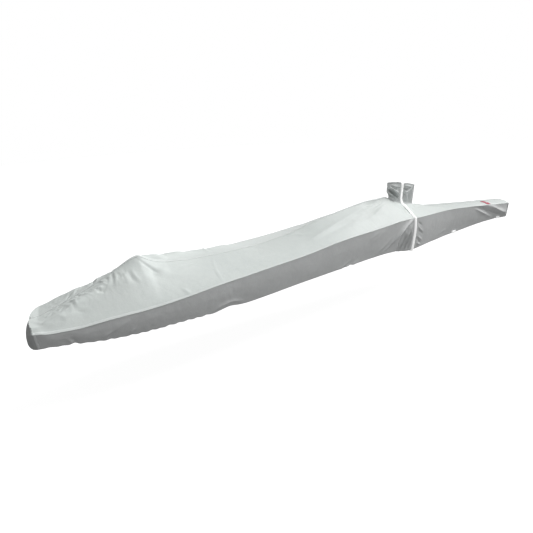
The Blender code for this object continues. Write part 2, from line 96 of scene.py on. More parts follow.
# Stretches of small folds, with the spacing there.
FINE_STRETCHES = ((0.060, 0.780, 0.0045), (2.130, 2.450, 0.0030))
TOP_COLUMNS = 46
Outline = namedtuple("Outline", "corner depth power direction")
# Each end's plan on either side. The stern's port corner lies farther forward.
STERN = {-1: Outline(0.024, 0.017, 2.1, -1), 1: Outline(0.052, 0.045, 1.9, -1)}
NOSE = {-1: Outline(3.675, 0.023, 3.6, 1), 1: Outline(3.675, 0.023, 3.6, 1)}
STERN_SEAM_X = 0.045      # the solid's corner, a little forward of the cloth's
STERN_TAPER = 0.35        # the beam narrows by this much a length, aft of there
END_STEPS = (3, 8, 14, 20, 26, 32, 38, 44, 50, 56, 62, 68, 74, 80, 86, 90)
SIDE_NAMES = {-1: "starboard", 1: "port"}

# A crease runs through its points as a soft ridge, or as a trough where its height is
# below zero. Its row gives, in millimetres, its height, its width and its points. On the
# top a point is its x and its y, which is positive to port.
Crease = namedtuple("Crease", "height width path")


def creases(*rows):
    """Creases from their rows in millimetres."""
    return [Crease(height / 1000, width / 1000, np.array(path) / 1000)
            for height, width, *path in rows]


TOP_CREASES = creases(
    # The fold that comes down from the aft peak, and the roll of cloth beside it.
    (-4.5, 5, (504, -6), (530, -22), (562, -46), (592, -68)),
    (1.8, 8, (526, -12), (556, -28), (596, -50)),
    # Soft diagonal from the stern corner up towards the peak.
    (4, 11, (40, -128), (107, -108), (180, -92), (300, -70)),
    # Puckers of the loose cloth over the stern.
    (-2.8, 4.8, (165, -38), (182, -34), (196, -78), (200, -110)),
    (3.2, 4.5, (176, -28), (206, -52), (214, -96)),
    (2.4, 3.5, (60, -112), (98, -86), (140, -60), (166, -36)),
    (-2.2, 4, (52, -100), (80, -82), (104, -72)),
    (2.2, 3.5, (66, -70), (92, -50), (128, -34)),
    (-2.4, 4, (110, -96), (136, -90), (158, -72)),
    (3.6, 3.8, (268, -40), (282, -52), (300, -56)),
    (-2.8, 4, (250, -26), (268, -34), (290, -38)),
    (2.8, 4, (330, -14), (344, -30), (346, -52)),
    (-2.8, 4.2, (350, -12), (362, -32), (360, -56)),
    (2.4, 4, (412, -20), (424, -40), (424, -62)),
    (-3.2, 4.5, (216, -8), (227, -40), (240, -50)),
    (2.8, 5, (228, -12), (246, -36), (270, -64)),
    (-3.2, 8, (90, -14), (120, -32), (150, -10)),
    (2.8, 9, (140, -110), (160, -124), (190, -118)),
    (-2.8, 9, (134, -108), (160, -106), (185, -104)),
    (-3.6, 5, (292, -8), (316, -14), (342, -34), (350, -50)),
    (4, 4.8, (296, -42), (318, -58), (336, -66)),
    (-3.2, 6.5, (300, -62), (330, -80), (340, -72)),
    (-3.4, 4.8, (386, -10), (384, -40), (380, -66)),
    (3, 4.8, (398, -12), (400, -46), (392, -72)),
    (3.2, 8, (372, -80), (402, -76), (436, -60)),
    (-3.2, 9, (398, -52), (420, -52), (446, -40)),
    (2.8, 8, (425, -20), (440, -60), (446, -95)),
    (-2.8, 8, (456, -50), (468, -82), (482, -100)),
    (2.8, 8, (474, -44), (486, -78), (500, -100)),
    (-2.4, 8, (46, -96), (62, -112), (74, -118)),
    (2.4, 7, (34, -50), (52, -84), (60, -104)),
    (-2.4, 9, (204, -108), (222, -122), (240, -128)),
    # Slack between the aft peak and the low middle of the top.
    (1.8, 8, (640, -34), (720, -28), (800, -26)),
    (-2.2, 10, (720, -52), (760, -48), (800, -40)),
    (1.8, 8, (735, -62), (770, -56), (800, -52)),
    # Welt where the cloth is caught over the aft edge of the well, and the dip beside it.
    (2.6, 4, (896, -28), (880, -88), (872, -133), (873, -205), (877, -236)),
    (-0.5, 5, (884, -50), (870, -100), (862, -150), (863, -215)),
    # Gather of the edge seam.
    (3, 9, (672, -182), (688, -204), (700, -226)),
    # Tension lines that run aft from the high point by the sleeve.
    (-7.5, 8, (2150, -10), (2096, -18), (2040, -26), (1990, -32)),
    (6, 8, (2150, -22), (2090, -32), (2010, -42)),
    (-5, 9, (2172, -20), (2080, -44), (1960, -58), (1860, -74)),
    (6, 7, (2172, -34), (2089, -62), (1978, -104)),
    (-5, 8, (2168, -46), (2080, -78), (1990, -112)),
    (6, 18, (1970, -36), (1850, -60), (1654, -96), (1481, -125)),
    (-5, 20, (1900, -80), (1750, -108), (1560, -140)),
    # Short rucks on the ridge where the centre seam was eased.
    (-4, 9, (1350, -6), (1396, -12), (1432, -20)),
    (4, 9, (1372, -18), (1410, -26), (1450, -30)),
    (2.8, 11, (1440, -40), (1470, -62), (1520, -72)),
    # Around the foot of the sleeve, where the tie pulls the cloth in.
    (5, 8, (2352, -16), (2330, -50), (2318, -95), (2312, -130)),
    (-5, 7, (2372, -20), (2352, -60), (2346, -105), (2340, -140)),
    (4, 7, (2398, -18), (2408, -55), (2402, -95)),
    (-4.5, 8, (2400, -30), (2425, -62), (2430, -100)),
    (4, 9, (2440, -12), (2470, -40), (2492, -75)),
    (-3, 9, (2480, -10), (2520, -36), (2548, -58)),
    (3, 12, (2560, -20), (2680, -44), (2820, -62)),
    (-3, 11, (2250, -60), (2290, -100), (2325, -150)),
    (4, 10, (2262, -90), (2300, -126), (2335, -160)),
    # Pull from the bow's corner.
    (-4.5, 9, (3420, -70), (3450, -76), (3500, -84)),
    (4.5, 10, (3430, -52), (3480, -64), (3560, -76)),
    (-3, 9, (3560, -10), (3600, -40), (3620, -70)),
    (3, 10, (3590, -10), (3630, -34), (3660, -60)),
    # Low swell beside the patch.
    (3.4, 13, (3346, -26), (3392, -40), (3446, -52)),
    # The port half.
    (-5, 8, (150, 10), (176, 22), (200, 46)),
    (4, 8, (170, 8), (196, 34), (226, 70)),
    (-5, 8, (285, 6), (300, 30), (296, 70)),
    (4.5, 8, (302, 8), (318, 36), (330, 84)),
    (-4.5, 8, (380, 6), (390, 40), (384, 86)),
    (4, 8, (400, 8), (410, 44), (402, 96)),
    (3.5, 11, (44, 124), (120, 100), (220, 80)),
    (4.8, 5, (905, 50), (898, 110), (886, 226)),
    (-2.5, 6, (918, 54), (910, 120), (900, 214)),
    (2.2, 11, (1040, 40), (1120, 60), (1210, 64)),
    (-7, 8, (2146, 12), (2080, 24), (1990, 36)),
    (6, 8, (2156, 26), (2060, 46), (1940, 76)),
    (-4.5, 9, (2166, 46), (2070, 80), (1960, 122)),
    (5.5, 18, (1960, 40), (1820, 70), (1600, 110)),
    (4.5, 8, (2356, 18), (2336, 60), (2322, 120)),
    (-4.5, 7, (2374, 22), (2360, 70), (2350, 140)),
    (4, 8, (2400, 20), (2416, 60), (2414, 100)),
    (-4, 8, (2424, 22), (2452, 56), (2470, 90)),
    (4, 9, (2452, 12), (2490, 40), (2520, 70)),
    (5, 11, (3360, 40), (3460, 60), (3570, 76)),
    (-4, 9, (3320, 54), (3400, 66), (3500, 80)),
)
WELT_STRETCH = (0.855, 0.950)   # the solid's blunt fold here gives way to the sharper welt
CREASE_REACH = 3.0        # a crease is worked out this many widths to either side
CREASE_CREST = 1.5        # power of its cross section: 2 is round, 1 is sharp
SLACK_HEIGHT = 0.0012     # of the cloth's broad unevenness
SLACK_SPACING = 0.11
RUCK_HEIGHT = 0.0004      # of its small unevenness
RUCK_SPACING = 0.028
TOP_SEED, CRUMPLE_SEED = 3.0, 60.0
RIDGE_EASE = 0.022        # the unevenness dies out over this distance from the centre seam
CRUMPLE_HEIGHT = 0.0024   # of the small sharp crumples of the loose cloth over the stern
CRUMPLE_SPACING = 0.034
CRUMPLE_MIDDLE, CRUMPLE_REACH = 0.250, 0.190
CRUMPLE_OUT, CRUMPLE_BAND = 0.050, 0.042
# Three places in the noise, one for each way in which the crumples bend.
CRUMPLE_BENDS = ((11.3, 4.1, 7.9), (-17.2, 23.6, 5.3), (29.1, -8.4, 19.7))
EDGE_EASE = 0.05          # share of the beam over which creases die out at the edge seam
TOP_PALE = (0.66, 0.70, 0.68)
TOP_DEEP = (0.60, 0.645, 0.63)


def smooth_between(xs, values, at):
    """Values read at new places from a smooth curve that never overshoots its rows."""
    xs, values = np.asarray(xs, float), np.asarray(values, float)
    flat = values.reshape(len(xs), -1)
    step = np.diff(xs)
    rise = np.diff(flat, axis=0) / step[:, None]
    tangent = np.vstack([rise[:1], (rise[1:] + rise[:-1]) / 2, rise[-1:]])
    inner = rise[1:] * rise[:-1] <= 0
    most = 3 * np.minimum(abs(rise[1:]), abs(rise[:-1]))
    tangent[1:-1] = np.where(inner, 0.0, np.clip(tangent[1:-1], -most, most))
    at = np.clip(np.asarray(at, float), xs[0], xs[-1])
    k = np.clip(np.searchsorted(xs, at) - 1, 0, len(xs) - 2)
    t = ((at - xs[k]) / step[k])[:, None]
    found = (flat[k] * (1 + 2 * t) * (1 - t) ** 2 + flat[k + 1] * t * t * (3 - 2 * t)
             + step[k][:, None] * (tangent[k] * t * (1 - t) ** 2
                                   - tangent[k + 1] * t * t * (1 - t)))
    return found.reshape((len(at),) + values.shape[1:])


def solid_rows(node):
    """The rows in which a cloth solid is laid out: x, and its points' offsets and heights."""
    rows = {}
    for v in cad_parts[node].data.vertices:
        point = (round(abs(v.co.y), 4), round(v.co.z - BOTTOM_Z, 5))
        rows.setdefault(round(v.co.x - STERN_X, 4), set()).add(point)
    return [(x, rows[x]) for x in sorted(rows) if STERN_SEAM_X <= x <= NOSE[-1].corner]


def end_point(end, degrees, beam, out=0.0):
    """x and distance out of a point of the stern's or the nose's rounded plan."""
    angle = math.radians(degrees)
    power = 2.0 / end.power
    x = end.corner + end.direction * (end.depth + out) * max(math.cos(angle), 0.0) ** power
    return x, (beam + out) * math.sin(angle) ** power


def crease_relief(x, y, creases):
    """The height that creases add at each point of a stretch of cloth."""
    relief = np.zeros(x.shape)
    for crease in creases:
        path = crease.path
        legs = np.hypot(*np.diff(path, axis=0).T)
        walked = np.concatenate([[0.0], np.cumsum(legs)])
        reach = crease.width * CREASE_REACH
        near = ((x > path[:, 0].min() - reach) & (x < path[:, 0].max() + reach)
                & (y > path[:, 1].min() - reach) & (y < path[:, 1].max() + reach))
        px, py = x[near], y[near]
        away, along = np.full(px.shape, 1.0), np.zeros(px.shape)
        for (x0, y0), (x1, y1), leg, start in zip(path, path[1:], legs, walked):
            t = np.clip(((px - x0) * (x1 - x0) + (py - y0) * (y1 - y0)) / (leg * leg), 0, 1)
            d = np.hypot(px - x0 - t * (x1 - x0), py - y0 - t * (y1 - y0))
            along = np.where(d < away, (start + t * leg) / walked[-1], along)
            away = np.minimum(away, d)
        strength = np.sin(np.pi * (0.06 + 0.88 * along)) ** 0.8      # less at both ends
        section = np.exp(-(away / crease.width) ** CREASE_CREST)
        relief[near] += crease.height * strength * section
    return relief


def unevenness(x, y, seed):
    """Low random swells and rucks, which no cloth is without."""
    rise = np.empty(x.size)
    for k, (px, py) in enumerate(zip(x.ravel(), y.ravel())):
        broad = noise.noise(Vector((px / SLACK_SPACING, py / SLACK_SPACING * 1.4, seed)))
        small = noise.noise(Vector((px / RUCK_SPACING, py / RUCK_SPACING, seed + 7.0)))
        rise[k] = SLACK_HEIGHT * broad + RUCK_HEIGHT * small
    return rise.reshape(x.shape)


def crumples(x, y, seed):
    """Small sharp ridges in the loose cloth on both sides of the centre seam."""
    rise = np.zeros(x.shape)
    where = (np.exp(-((x - CRUMPLE_MIDDLE) / CRUMPLE_REACH) ** 4)
             * np.exp(-((abs(y) - CRUMPLE_OUT) / CRUMPLE_BAND) ** 2))
    for at in zip(*np.nonzero(where > 0.02)):
        place = Vector((x[at] / CRUMPLE_SPACING * 1.3, y[at] / CRUMPLE_SPACING * 0.8, seed))
        bend = Vector([noise.noise(place * 0.7 + Vector(far)) for far in CRUMPLE_BENDS])
        ridge = 1.0 - min(abs(noise.noise(place + bend * 0.5)) * 3.2, 1.0)
        rise[at] = CRUMPLE_HEIGHT * where[at] * (ridge ** 1.5 - 0.35)
    return rise


def object_from(name, bm):
    """Makes a bmesh an object of its own."""
    mesh = bpy.data.meshes.new(name)
    bm.to_mesh(mesh)
    bm.free()
    made = bpy.data.objects.new(name, mesh)
    bpy.context.scene.collection.objects.link(made)
    return made


def sheet_object(name, points, texture, loop=False):
    """Cloth through a grid of points: rows along the hull, columns across it.

    texture holds each point's place on the flat cloth, in metres. A loop's last column
    is joined to its first.
    """
    along, across = points.shape[0] - 1, points.shape[1] - 1
    bm = bmesh.new()
    bmesh.ops.create_grid(bm, x_segments=along, y_segments=across, size=0.5)
    flat = bm.loops.layers.uv.new("flat")
    steps = {v: (round((v.co.x + 0.5) * along), round((v.co.y + 0.5) * across))
             for v in bm.verts}
    for face in bm.faces:
        face.smooth = True
        for corner in face.loops:
            corner[flat].uv = texture[steps[corner.vert]]
    for v, step in steps.items():
        v.co = points[step]
    if loop:
        bmesh.ops.remove_doubles(bm, verts=bm.verts, dist=0.00001)
    return object_from(name, bm)


def give_thickness(piece, outward, thickness=CLOTH):
    """Turns a sheet's faces outwards and gives it its thickness, inwards."""
    bm = bmesh.new()
    bm.from_mesh(piece.data)
    facing = sum(f.normal.dot(outward(f.calc_center_median())) * f.calc_area()
                 for f in bm.faces)
    if facing < 0:
        bmesh.ops.reverse_faces(bm, faces=bm.faces)
    bm.to_mesh(piece.data)
    bm.free()
    wall = piece.modifiers.new("thickness", "SOLIDIFY")
    wall.thickness = thickness
    wall.offset = -1.0


def new_finish(name, own_values):
    """A material with its shader's own values, and its node tree and shader."""
    made = bpy.data.materials.new(name)
    made.use_nodes = True
    shader = made.node_tree.nodes["Principled BSDF"]
    for socket, value in own_values.items():
        shader.inputs[socket].default_value = value
    return made, made.node_tree, shader


def node(tree, kind, **settings):
    """A shader node with its settings and, by name or number, its sockets' values."""
    made = tree.nodes.new(kind)
    for name, value in settings.pop("sockets", {}).items():
        made.inputs[name].default_value = value
    for name, value in settings.items():
        setattr(made, name, value)
    return made


def two_tone(tree, deep, pale, low=0.0, high=1.0):
    """A colour ramp from a deep to a pale tone."""
    ramp = node(tree, "ShaderNodeValToRGB")
    for step, position, colour in zip(ramp.color_ramp.elements, (low, high), (deep, pale)):
        step.position = position
        step.color = (*colour, 1.0)
    return ramp


def join(tree, *links):
    """Joins nodes: a link is a source, its output, a target and its socket."""
    for source, output, target, socket in links:
        tree.links.new(source.outputs[output], target.inputs[socket])


THREAD = 0.0011                    # spacing of the weave's threads
WAVE_PERIOD = math.tau / 20        # of Blender's wave texture at a scale of 1


def coated_cloth(name, pale, deep, roughness=0.52, crinkle=0.35):
    """Coated polyester: a fine plain weave under a thin satin coat, with uneven tone."""
    made, tree, shader = new_finish(name, {
        "Sheen Weight": 0.12, "Sheen Roughness": 0.4, "Specular IOR Level": 0.4})
    place = node(tree, "ShaderNodeTexCoord")
    flat = node(tree, "ShaderNodeUVMap", uv_map="flat")
    tone = node(tree, "ShaderNodeTexNoise",
                sockets={"Scale": 2.6, "Detail": 4.0, "Roughness": 0.55})
    spots = node(tree, "ShaderNodeTexNoise",
                 sockets={"Scale": 34.0, "Detail": 3.0, "Roughness": 0.6})
    both = node(tree, "ShaderNodeMix", data_type="FLOAT", sockets={0: 0.35})
    ramp = two_tone(tree, deep, pale, 0.30, 0.62)
    gloss = node(tree, "ShaderNodeMapRange",
                 sockets={"From Min": 0.3, "From Max": 0.7,
                          "To Min": roughness - 0.06, "To Max": roughness + 0.08})
    threads = [node(tree, "ShaderNodeTexWave", bands_direction=direction,
                    sockets={"Scale": WAVE_PERIOD / THREAD, "Distortion": 0.4,
                             "Detail": 1.0, "Detail Scale": 0.6})
               for direction in ("X", "Y")]
    weave = node(tree, "ShaderNodeMath", operation="MULTIPLY")
    crumple = node(tree, "ShaderNodeTexNoise",
                   sockets={"Scale": 42.0, "Detail": 3.0, "Roughness": 0.5, "Distortion": 0.6})
    soft = node(tree, "ShaderNodeBump", sockets={"Strength": crinkle, "Distance": 0.0022})
    fine = node(tree, "ShaderNodeBump", sockets={"Strength": 0.25, "Distance": 0.00012})
    join(tree,
         (place, "Object", tone, "Vector"), (place, "Object", spots, "Vector"),
         (tone, "Fac", both, 2), (spots, "Fac", both, 3),
         (both, 0, ramp, "Fac"), (ramp, "Color", shader, "Base Color"),
         (spots, "Fac", gloss, "Value"), (gloss, "Result", shader, "Roughness"),
         (flat, "UV", threads[0], "Vector"), (flat, "UV", threads[1], "Vector"),
         (threads[0], "Fac", weave, 0), (threads[1], "Fac", weave, 1),
         (place, "Object", crumple, "Vector"), (crumple, "Fac", soft, "Height"),
         (weave, "Value", fine, "Height"), (soft, "Normal", fine, "Normal"),
         (fine, "Normal", shader, "Normal"))
    return made


def girth(y, z):
    """How far along its row of the cloth each point lies."""
    steps = np.hypot(np.diff(y, axis=1), np.diff(z, axis=1))
    return np.concatenate([np.zeros((len(y), 1)), np.cumsum(steps, axis=1)], axis=1)


def top_table(label):
    """The solid's stations and beams, and its heights over shares of the beam."""
    rows = solid_rows("deck_panel_" + label)
    reach = max(y for y, z in rows[20][1])
    shares = sorted({round((y - SEAM_GAP / 2) / reach, 2) for y, z in rows[20][1]})
    rows = [row for row in rows if not WELT_STRETCH[0] < row[0] < WELT_STRETCH[1]]
    stations = np.array([x for x, points in rows])
    reaches = np.array([max(y for y, z in points) for x, points in rows])
    heights = []
    for (x, points), reach in zip(rows, reaches):
        outer = {}
        for y, z in points:
            key = min(shares, key=lambda share: abs(share - y / reach))
            outer[key] = max(outer.get(key, z), z)
        heights.append([outer.get(key, outer[0.0]) for key in shares])
    return stations, reaches, np.array(shares), np.array(heights)


def stations_along(aft, fore):
    """x of the cloth's points from aft to fore, closer together where folds are small."""
    places = [aft]
    while places[-1] < fore - CELL:
        x = places[-1]
        steps = [step for start, stop, step in FINE_STRETCHES if start <= x < stop]
        places.append(x + (steps[0] if steps else CELL))
    return np.array(places + [fore])


top_tables = {side: top_table(label) for side, label in SIDE_NAMES.items()}
ridge_line = (top_tables[-1][3][:, 0] + top_tables[1][3][:, 0]) / 2
top_grid = {}
for side, label in SIDE_NAMES.items():
    stations, reaches, shares, heights = top_tables[side]
    heights[:, 0] = ridge_line
    between = stations_along(STERN[side].corner, NOSE[side].corner)
    beam = smooth_between(stations, reaches, between)
    beam -= STERN_TAPER * np.clip(STERN_SEAM_X - between, 0, None)
    plan = ([end_point(STERN[side], a, beam[0]) for a in END_STEPS[:-1]]
            + list(zip(between, beam))
            + [end_point(NOSE[side], a, beam[-1]) for a in reversed(END_STEPS[:-1])])
    plan = np.array(plan)
    across = np.linspace(0.0, 1.0, TOP_COLUMNS + 1)
    upright = smooth_between(stations, heights, plan[:, 0])
    z = np.array([smooth_between(shares, row, across) for row in upright])
    x = np.repeat(plan[:, :1], len(across), axis=1)
    y = side * (SEAM_GAP / 2 + across * (plan[:, 1:] - SEAM_GAP / 2))
    edge = np.clip((1 - across) / EDGE_EASE, 0, 1)
    uneven = unevenness(x, y, TOP_SEED) * np.clip(abs(y) / RIDGE_EASE, 0, 1)
    z = z + (crease_relief(x, y, TOP_CREASES) + uneven + crumples(x, y, CRUMPLE_SEED)) * edge
    top_grid[side] = (plan, z)

    points = np.stack([x, y, z], axis=-1) + BASE
    panel = sheet_object("top_" + label, points, np.stack([x, girth(y, z)], axis=-1))
    give_thickness(panel, lambda place: Vector((0, 0, 1)))
    panel.data.materials.append(coated_cloth("top_cloth_" + label, TOP_PALE, TOP_DEEP))
    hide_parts("deck_panel_" + label)
    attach(panel, "root")


def top_height(x, y):
    """Height of the top's outer face above the hull's bottom, at x and y."""
    plan, z = top_grid[-1 if y < 0 else 1]
    i = int(np.clip(np.searchsorted(plan[:, 0], x), 1, len(plan) - 1))
    t = min(max((x - plan[i - 1, 0]) / (plan[i, 0] - plan[i - 1, 0]), 0.0), 1.0)
    reach = plan[i - 1, 1] * (1 - t) + plan[i, 1] * t
    column = min(abs(y) / reach, 1.0) * TOP_COLUMNS
    j = min(int(column), TOP_COLUMNS - 1)
    s = column - j
    low = z[i - 1, j] * (1 - s) + z[i - 1, j + 1] * s
    high = z[i, j] * (1 - s) + z[i, j + 1] * s
    return float(low * (1 - t) + high * t)


def edge_line(side):
    """x, distance out and height of the top's edge, from the stern's middle to the nose's."""
    plan, z = top_grid[side]
    return plan[:, 0], plan[:, 1], z[:, -1]


# ---- The sides ----------------------------------------------------------------------
# One long strip hangs down each side of the hull, sewn to the edge of the top. Its lower
# edge is a hem with elastic in it, which draws in under the hull and puckers the cloth.

SIDE_ROWS = 68
SIDE_PALE = (0.665, 0.680, 0.678)
SIDE_DEEP = (0.595, 0.610, 0.608)
HEM_ROWS = 9
HEM_RADIUS = 0.0075
HEM_RUN = 0.011           # how far the hem reaches in under the hull
# From the tie forward the hem hangs this much lower than the hull's edge.
BOW_HEM_DROP, BOW_HEM_X, BOW_HEM_RUN = 0.015, 2.160, 0.160
SEAM_DROP = 0.0004        # between the underside of the top and the upper edge of a side
SIDE_EASE = 0.008         # folds die out over this depth below the edge seam
SIDE_END_EASE = 0.030     # and over this length at both ends
SIDE_SEED = 20.0

# A point is its x and its depth below the edge seam.
SIDE_CREASES = {
    -1: creases(
        # Fan of folds that the tie pulls together at the edge seam.
        (20, 10.5, (2304, 6), (2248, 34), (2198, 66), (2158, 98), (2118, 130)),
        (-12, 7, (2312, 18), (2266, 52), (2220, 94), (2186, 150), (2166, 205)),
        (18, 5.4, (2314, 28), (2276, 66), (2240, 112), (2212, 165), (2195, 212)),
        (-11, 5.8, (2315, 42), (2284, 84), (2258, 130), (2236, 180), (2226, 216)),
        (15, 4.8, (2316, 56), (2290, 96), (2272, 140), (2256, 186), (2248, 218)),
        (-9.5, 5.2, (2316, 72), (2298, 112), (2288, 156), (2280, 206)),
        (8, 5, (2317, 92), (2308, 130), (2304, 180), (2300, 212)),
        # Long slants that run down and aft from the fan.
        (5.5, 12, (2200, 64), (2139, 116), (2084, 148), (2020, 180)),
        (4.5, 13, (2130, 76), (2060, 118), (1999, 152), (1960, 184)),
        (-3.5, 12, (2160, 110), (2100, 150), (2050, 188)),
        (2.8, 11, (1990, 16), (1929, 40), (1896, 60)),
        (2.5, 12, (2030, 18), (1965, 56), (1920, 78)),
        # Puckers at the hem.
        (4.5, 7, (1640, 186), (1675, 168), (1712, 148)),
        (-4, 6.5, (1660, 188), (1700, 172), (1740, 156)),
        (4.5, 7, (1744, 190), (1768, 178), (1800, 168)),
        (3.5, 8, (283, 80), (303, 66), (322, 58)),
        (-3, 7, (300, 86), (318, 72), (336, 64)),
        (3.5, 7, (392, 100), (406, 82), (418, 70)),
        (3.5, 9, (156, 84), (158, 60), (142, 34)),
        (-4, 8, (170, 84), (172, 64), (166, 44)),
        (3, 16, (330, 60), (372, 38), (410, 22)),
        # Crease below the welt of the top, down to the arch in the hem.
        (-4.2, 13, (897, 0), (895, 50), (891, 125)),
        (4.5, 11, (800, 128), (850, 116), (905, 112), (965, 132)),
        # Puckers forward of the tie.
        (4, 7, (2376, 60), (2404, 82), (2446, 108)),
        (-3.4, 7, (2378, 82), (2410, 104), (2448, 128)),
        (4, 7, (2378, 128), (2410, 152), (2450, 176)),
        (-4.2, 7, (2380, 150), (2408, 176), (2440, 196)),
        (4, 8, (2380, 184), (2410, 198), (2440, 206)),
        (-4, 7, (2372, 30), (2396, 44), (2430, 60)),
        (3, 10, (2700, 186), (2740, 164), (2790, 150)),
        # Two long pulls from the foredeck down to the tab near the bow.
        (-12, 15, (3180, 4), (3263, 22), (3376, 48), (3474, 74), (3540, 94)),
        (8.5, 12, (3190, 22), (3301, 62), (3380, 86), (3450, 110)),
        (10, 13, (3370, 2), (3446, 20), (3546, 54), (3640, 80)),
        # The side rolls out below the nose's edge seam, and catches the light.
        (11, 30, (3500, 66), (3580, 66), (3690, 62)),
    ),
    1: creases(
        (10, 9, (2318, 12), (2268, 40), (2222, 80), (2186, 130)),
        (-7.5, 8, (2324, 24), (2282, 60), (2240, 110), (2210, 175)),
        (7, 7, (2326, 40), (2292, 80), (2262, 132), (2240, 196)),
        (-6, 6.5, (2330, 58), (2304, 100), (2284, 152), (2270, 206)),
        (5, 12, (2190, 70), (2120, 120), (2050, 160)),
        (4, 12, (2080, 50), (2010, 90), (1950, 120)),
        (4, 7, (1500, 176), (1530, 158), (1562, 140)),
        (-3.5, 7, (1518, 178), (1552, 162), (1590, 150)),
        (4, 9, (888, 10), (886, 60), (880, 120)),
        (3.5, 8, (240, 80), (262, 62), (286, 50)),
        (3.5, 8, (560, 104), (580, 86), (602, 74)),
        (5.5, 8, (2376, 70), (2410, 92), (2452, 120)),
        (-5, 8, (2378, 100), (2412, 128), (2446, 150)),
        (5, 8, (2380, 150), (2414, 174), (2448, 190)),
        (-8, 14, (3200, 4), (3290, 26), (3390, 50), (3520, 88)),
        (7, 14, (3220, 28), (3320, 62), (3460, 108)),
        (6, 15, (3390, 4), (3480, 26), (3600, 66)),
    ),
}

# Tucks where the elastic gathers the hem, in millimetres: x, rise of the hem and length.
HEM_TUCKS = {
    -1: (
        (70, 4, 20), (120, 3, 16), (163, 9, 14), (215, 3, 18), (262, 4, 14), (312, 5, 12),
        (352, 3, 14), (402, 5, 12), (447, 4, 12), (492, 5, 13), (530, 3, 12), (575, 5, 14),
        (622, 4, 12), (668, 5, 13), (712, 4, 12), (762, 4, 13), (1735, 6, 16),
    ),
    1: (
        (90, 4, 18), (150, 4, 16), (205, 6, 14), (270, 4, 16), (330, 5, 14), (392, 4, 14),
        (450, 5, 14), (512, 4, 14), (570, 5, 14), (640, 4, 14), (700, 5, 14), (1560, 5, 16),
    ),
}


def hem_turn(step):
    """Offset inwards and drop of one step round the rolled hem."""
    turned = min(step * 18.0, 90.0)
    run = HEM_RUN * max(step - 5, 0) / (HEM_ROWS - 5)
    angle = math.radians(turned)
    return HEM_RADIUS * (1 - math.cos(angle)) + run, HEM_RADIUS * math.sin(angle)


side_lines = {}
for side, label in SIDE_NAMES.items():
    rows = solid_rows("side_panel_" + label)
    stations = np.array([x for x, points in rows])
    outs, drops, hems = [], [], []
    for x, points in rows:
        levels = sorted({z for y, z in points}, reverse=True)[:5]
        outs.append([max(y for y, z in points if z == level) for level in levels])
        drops.append([(levels[0] - level) / (levels[0] - levels[-1]) for level in levels])
        hems.append(min(z for y, z in points))
    plan_x, plan_y, plan_z = edge_line(side)
    inside = (plan_x >= STERN[side].corner) & (plan_x <= NOSE[side].corner)
    along = plan_x[inside]
    upper = plan_z[inside] - CLOTH - SEAM_DROP
    out = smooth_between(stations, outs, along)
    hem = smooth_between(stations, hems, along)
    hem = hem - BOW_HEM_DROP * np.clip((along - BOW_HEM_X) / BOW_HEM_RUN, 0, 1)
    for x, rise, length in np.array(HEM_TUCKS[side]) / 1000:
        hem = hem + rise * np.exp(-((along - x) / length) ** 2)
    down = np.linspace(0.0, 1.0, SIDE_ROWS)
    rolls = hem + HEM_RADIUS + CLOTH
    y_wall = np.array([smooth_between(drops[0], row, down) for row in out])
    y_wall += plan_y[inside][:, None] - y_wall[:, :1]
    z_wall = upper[:, None] + (rolls - upper)[:, None] * down
    x_wall = np.repeat(along[:, None], SIDE_ROWS, axis=1)
    depth = upper[:, None] - z_wall
    inwards = np.minimum(along - along[0], along[-1] - along)[:, None]
    free = np.clip(depth / SIDE_EASE, 0, 1) * np.clip(inwards / SIDE_END_EASE, 0, 1)
    y_wall += (crease_relief(x_wall, depth, SIDE_CREASES[side])
               + unevenness(x_wall, depth, SIDE_SEED + side)) * free
    turns = np.array([hem_turn(k) for k in range(1, HEM_ROWS + 1)])
    y_hem = y_wall[:, -1:] - turns[:, 0]
    z_hem = rolls[:, None] - turns[:, 1]
    x_all = np.concatenate([x_wall, np.repeat(along[:, None], HEM_ROWS, axis=1)], axis=1)
    y_all = np.concatenate([y_wall, y_hem], axis=1)
    z_all = np.concatenate([z_wall, z_hem], axis=1)
    side_lines[side] = (along, y_all, z_all)
    points = np.stack([x_all, side * y_all, z_all], axis=-1) + BASE
    texture = np.stack([x_all, girth(y_all, z_all)], axis=-1)
    panel = sheet_object("side_" + label, points, texture)
    give_thickness(panel, lambda place, side=side: Vector((0, side, 0)))
    panel.data.materials.append(coated_cloth("side_cloth_" + label, SIDE_PALE, SIDE_DEEP))
    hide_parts("side_panel_" + label)
    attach(panel, "root")


# ---- The ends -----------------------------------------------------------------------
# A short piece closes the stern and another the nose, each sewn to the top and to both
# sides. The stern's leans aft towards its hem, and the nose's a little forward.

STERN_RAKE, NOSE_RAKE = 0.030, 0.014
END_WRINKLE = 0.0012
# The ends take a darker copy of the sides' cloth: painted shade, for the lesser light that falls
# on them.
END_SHADED_PALE = (0.50, 0.515, 0.510)
END_SHADED_DEEP = (0.42, 0.435, 0.430)

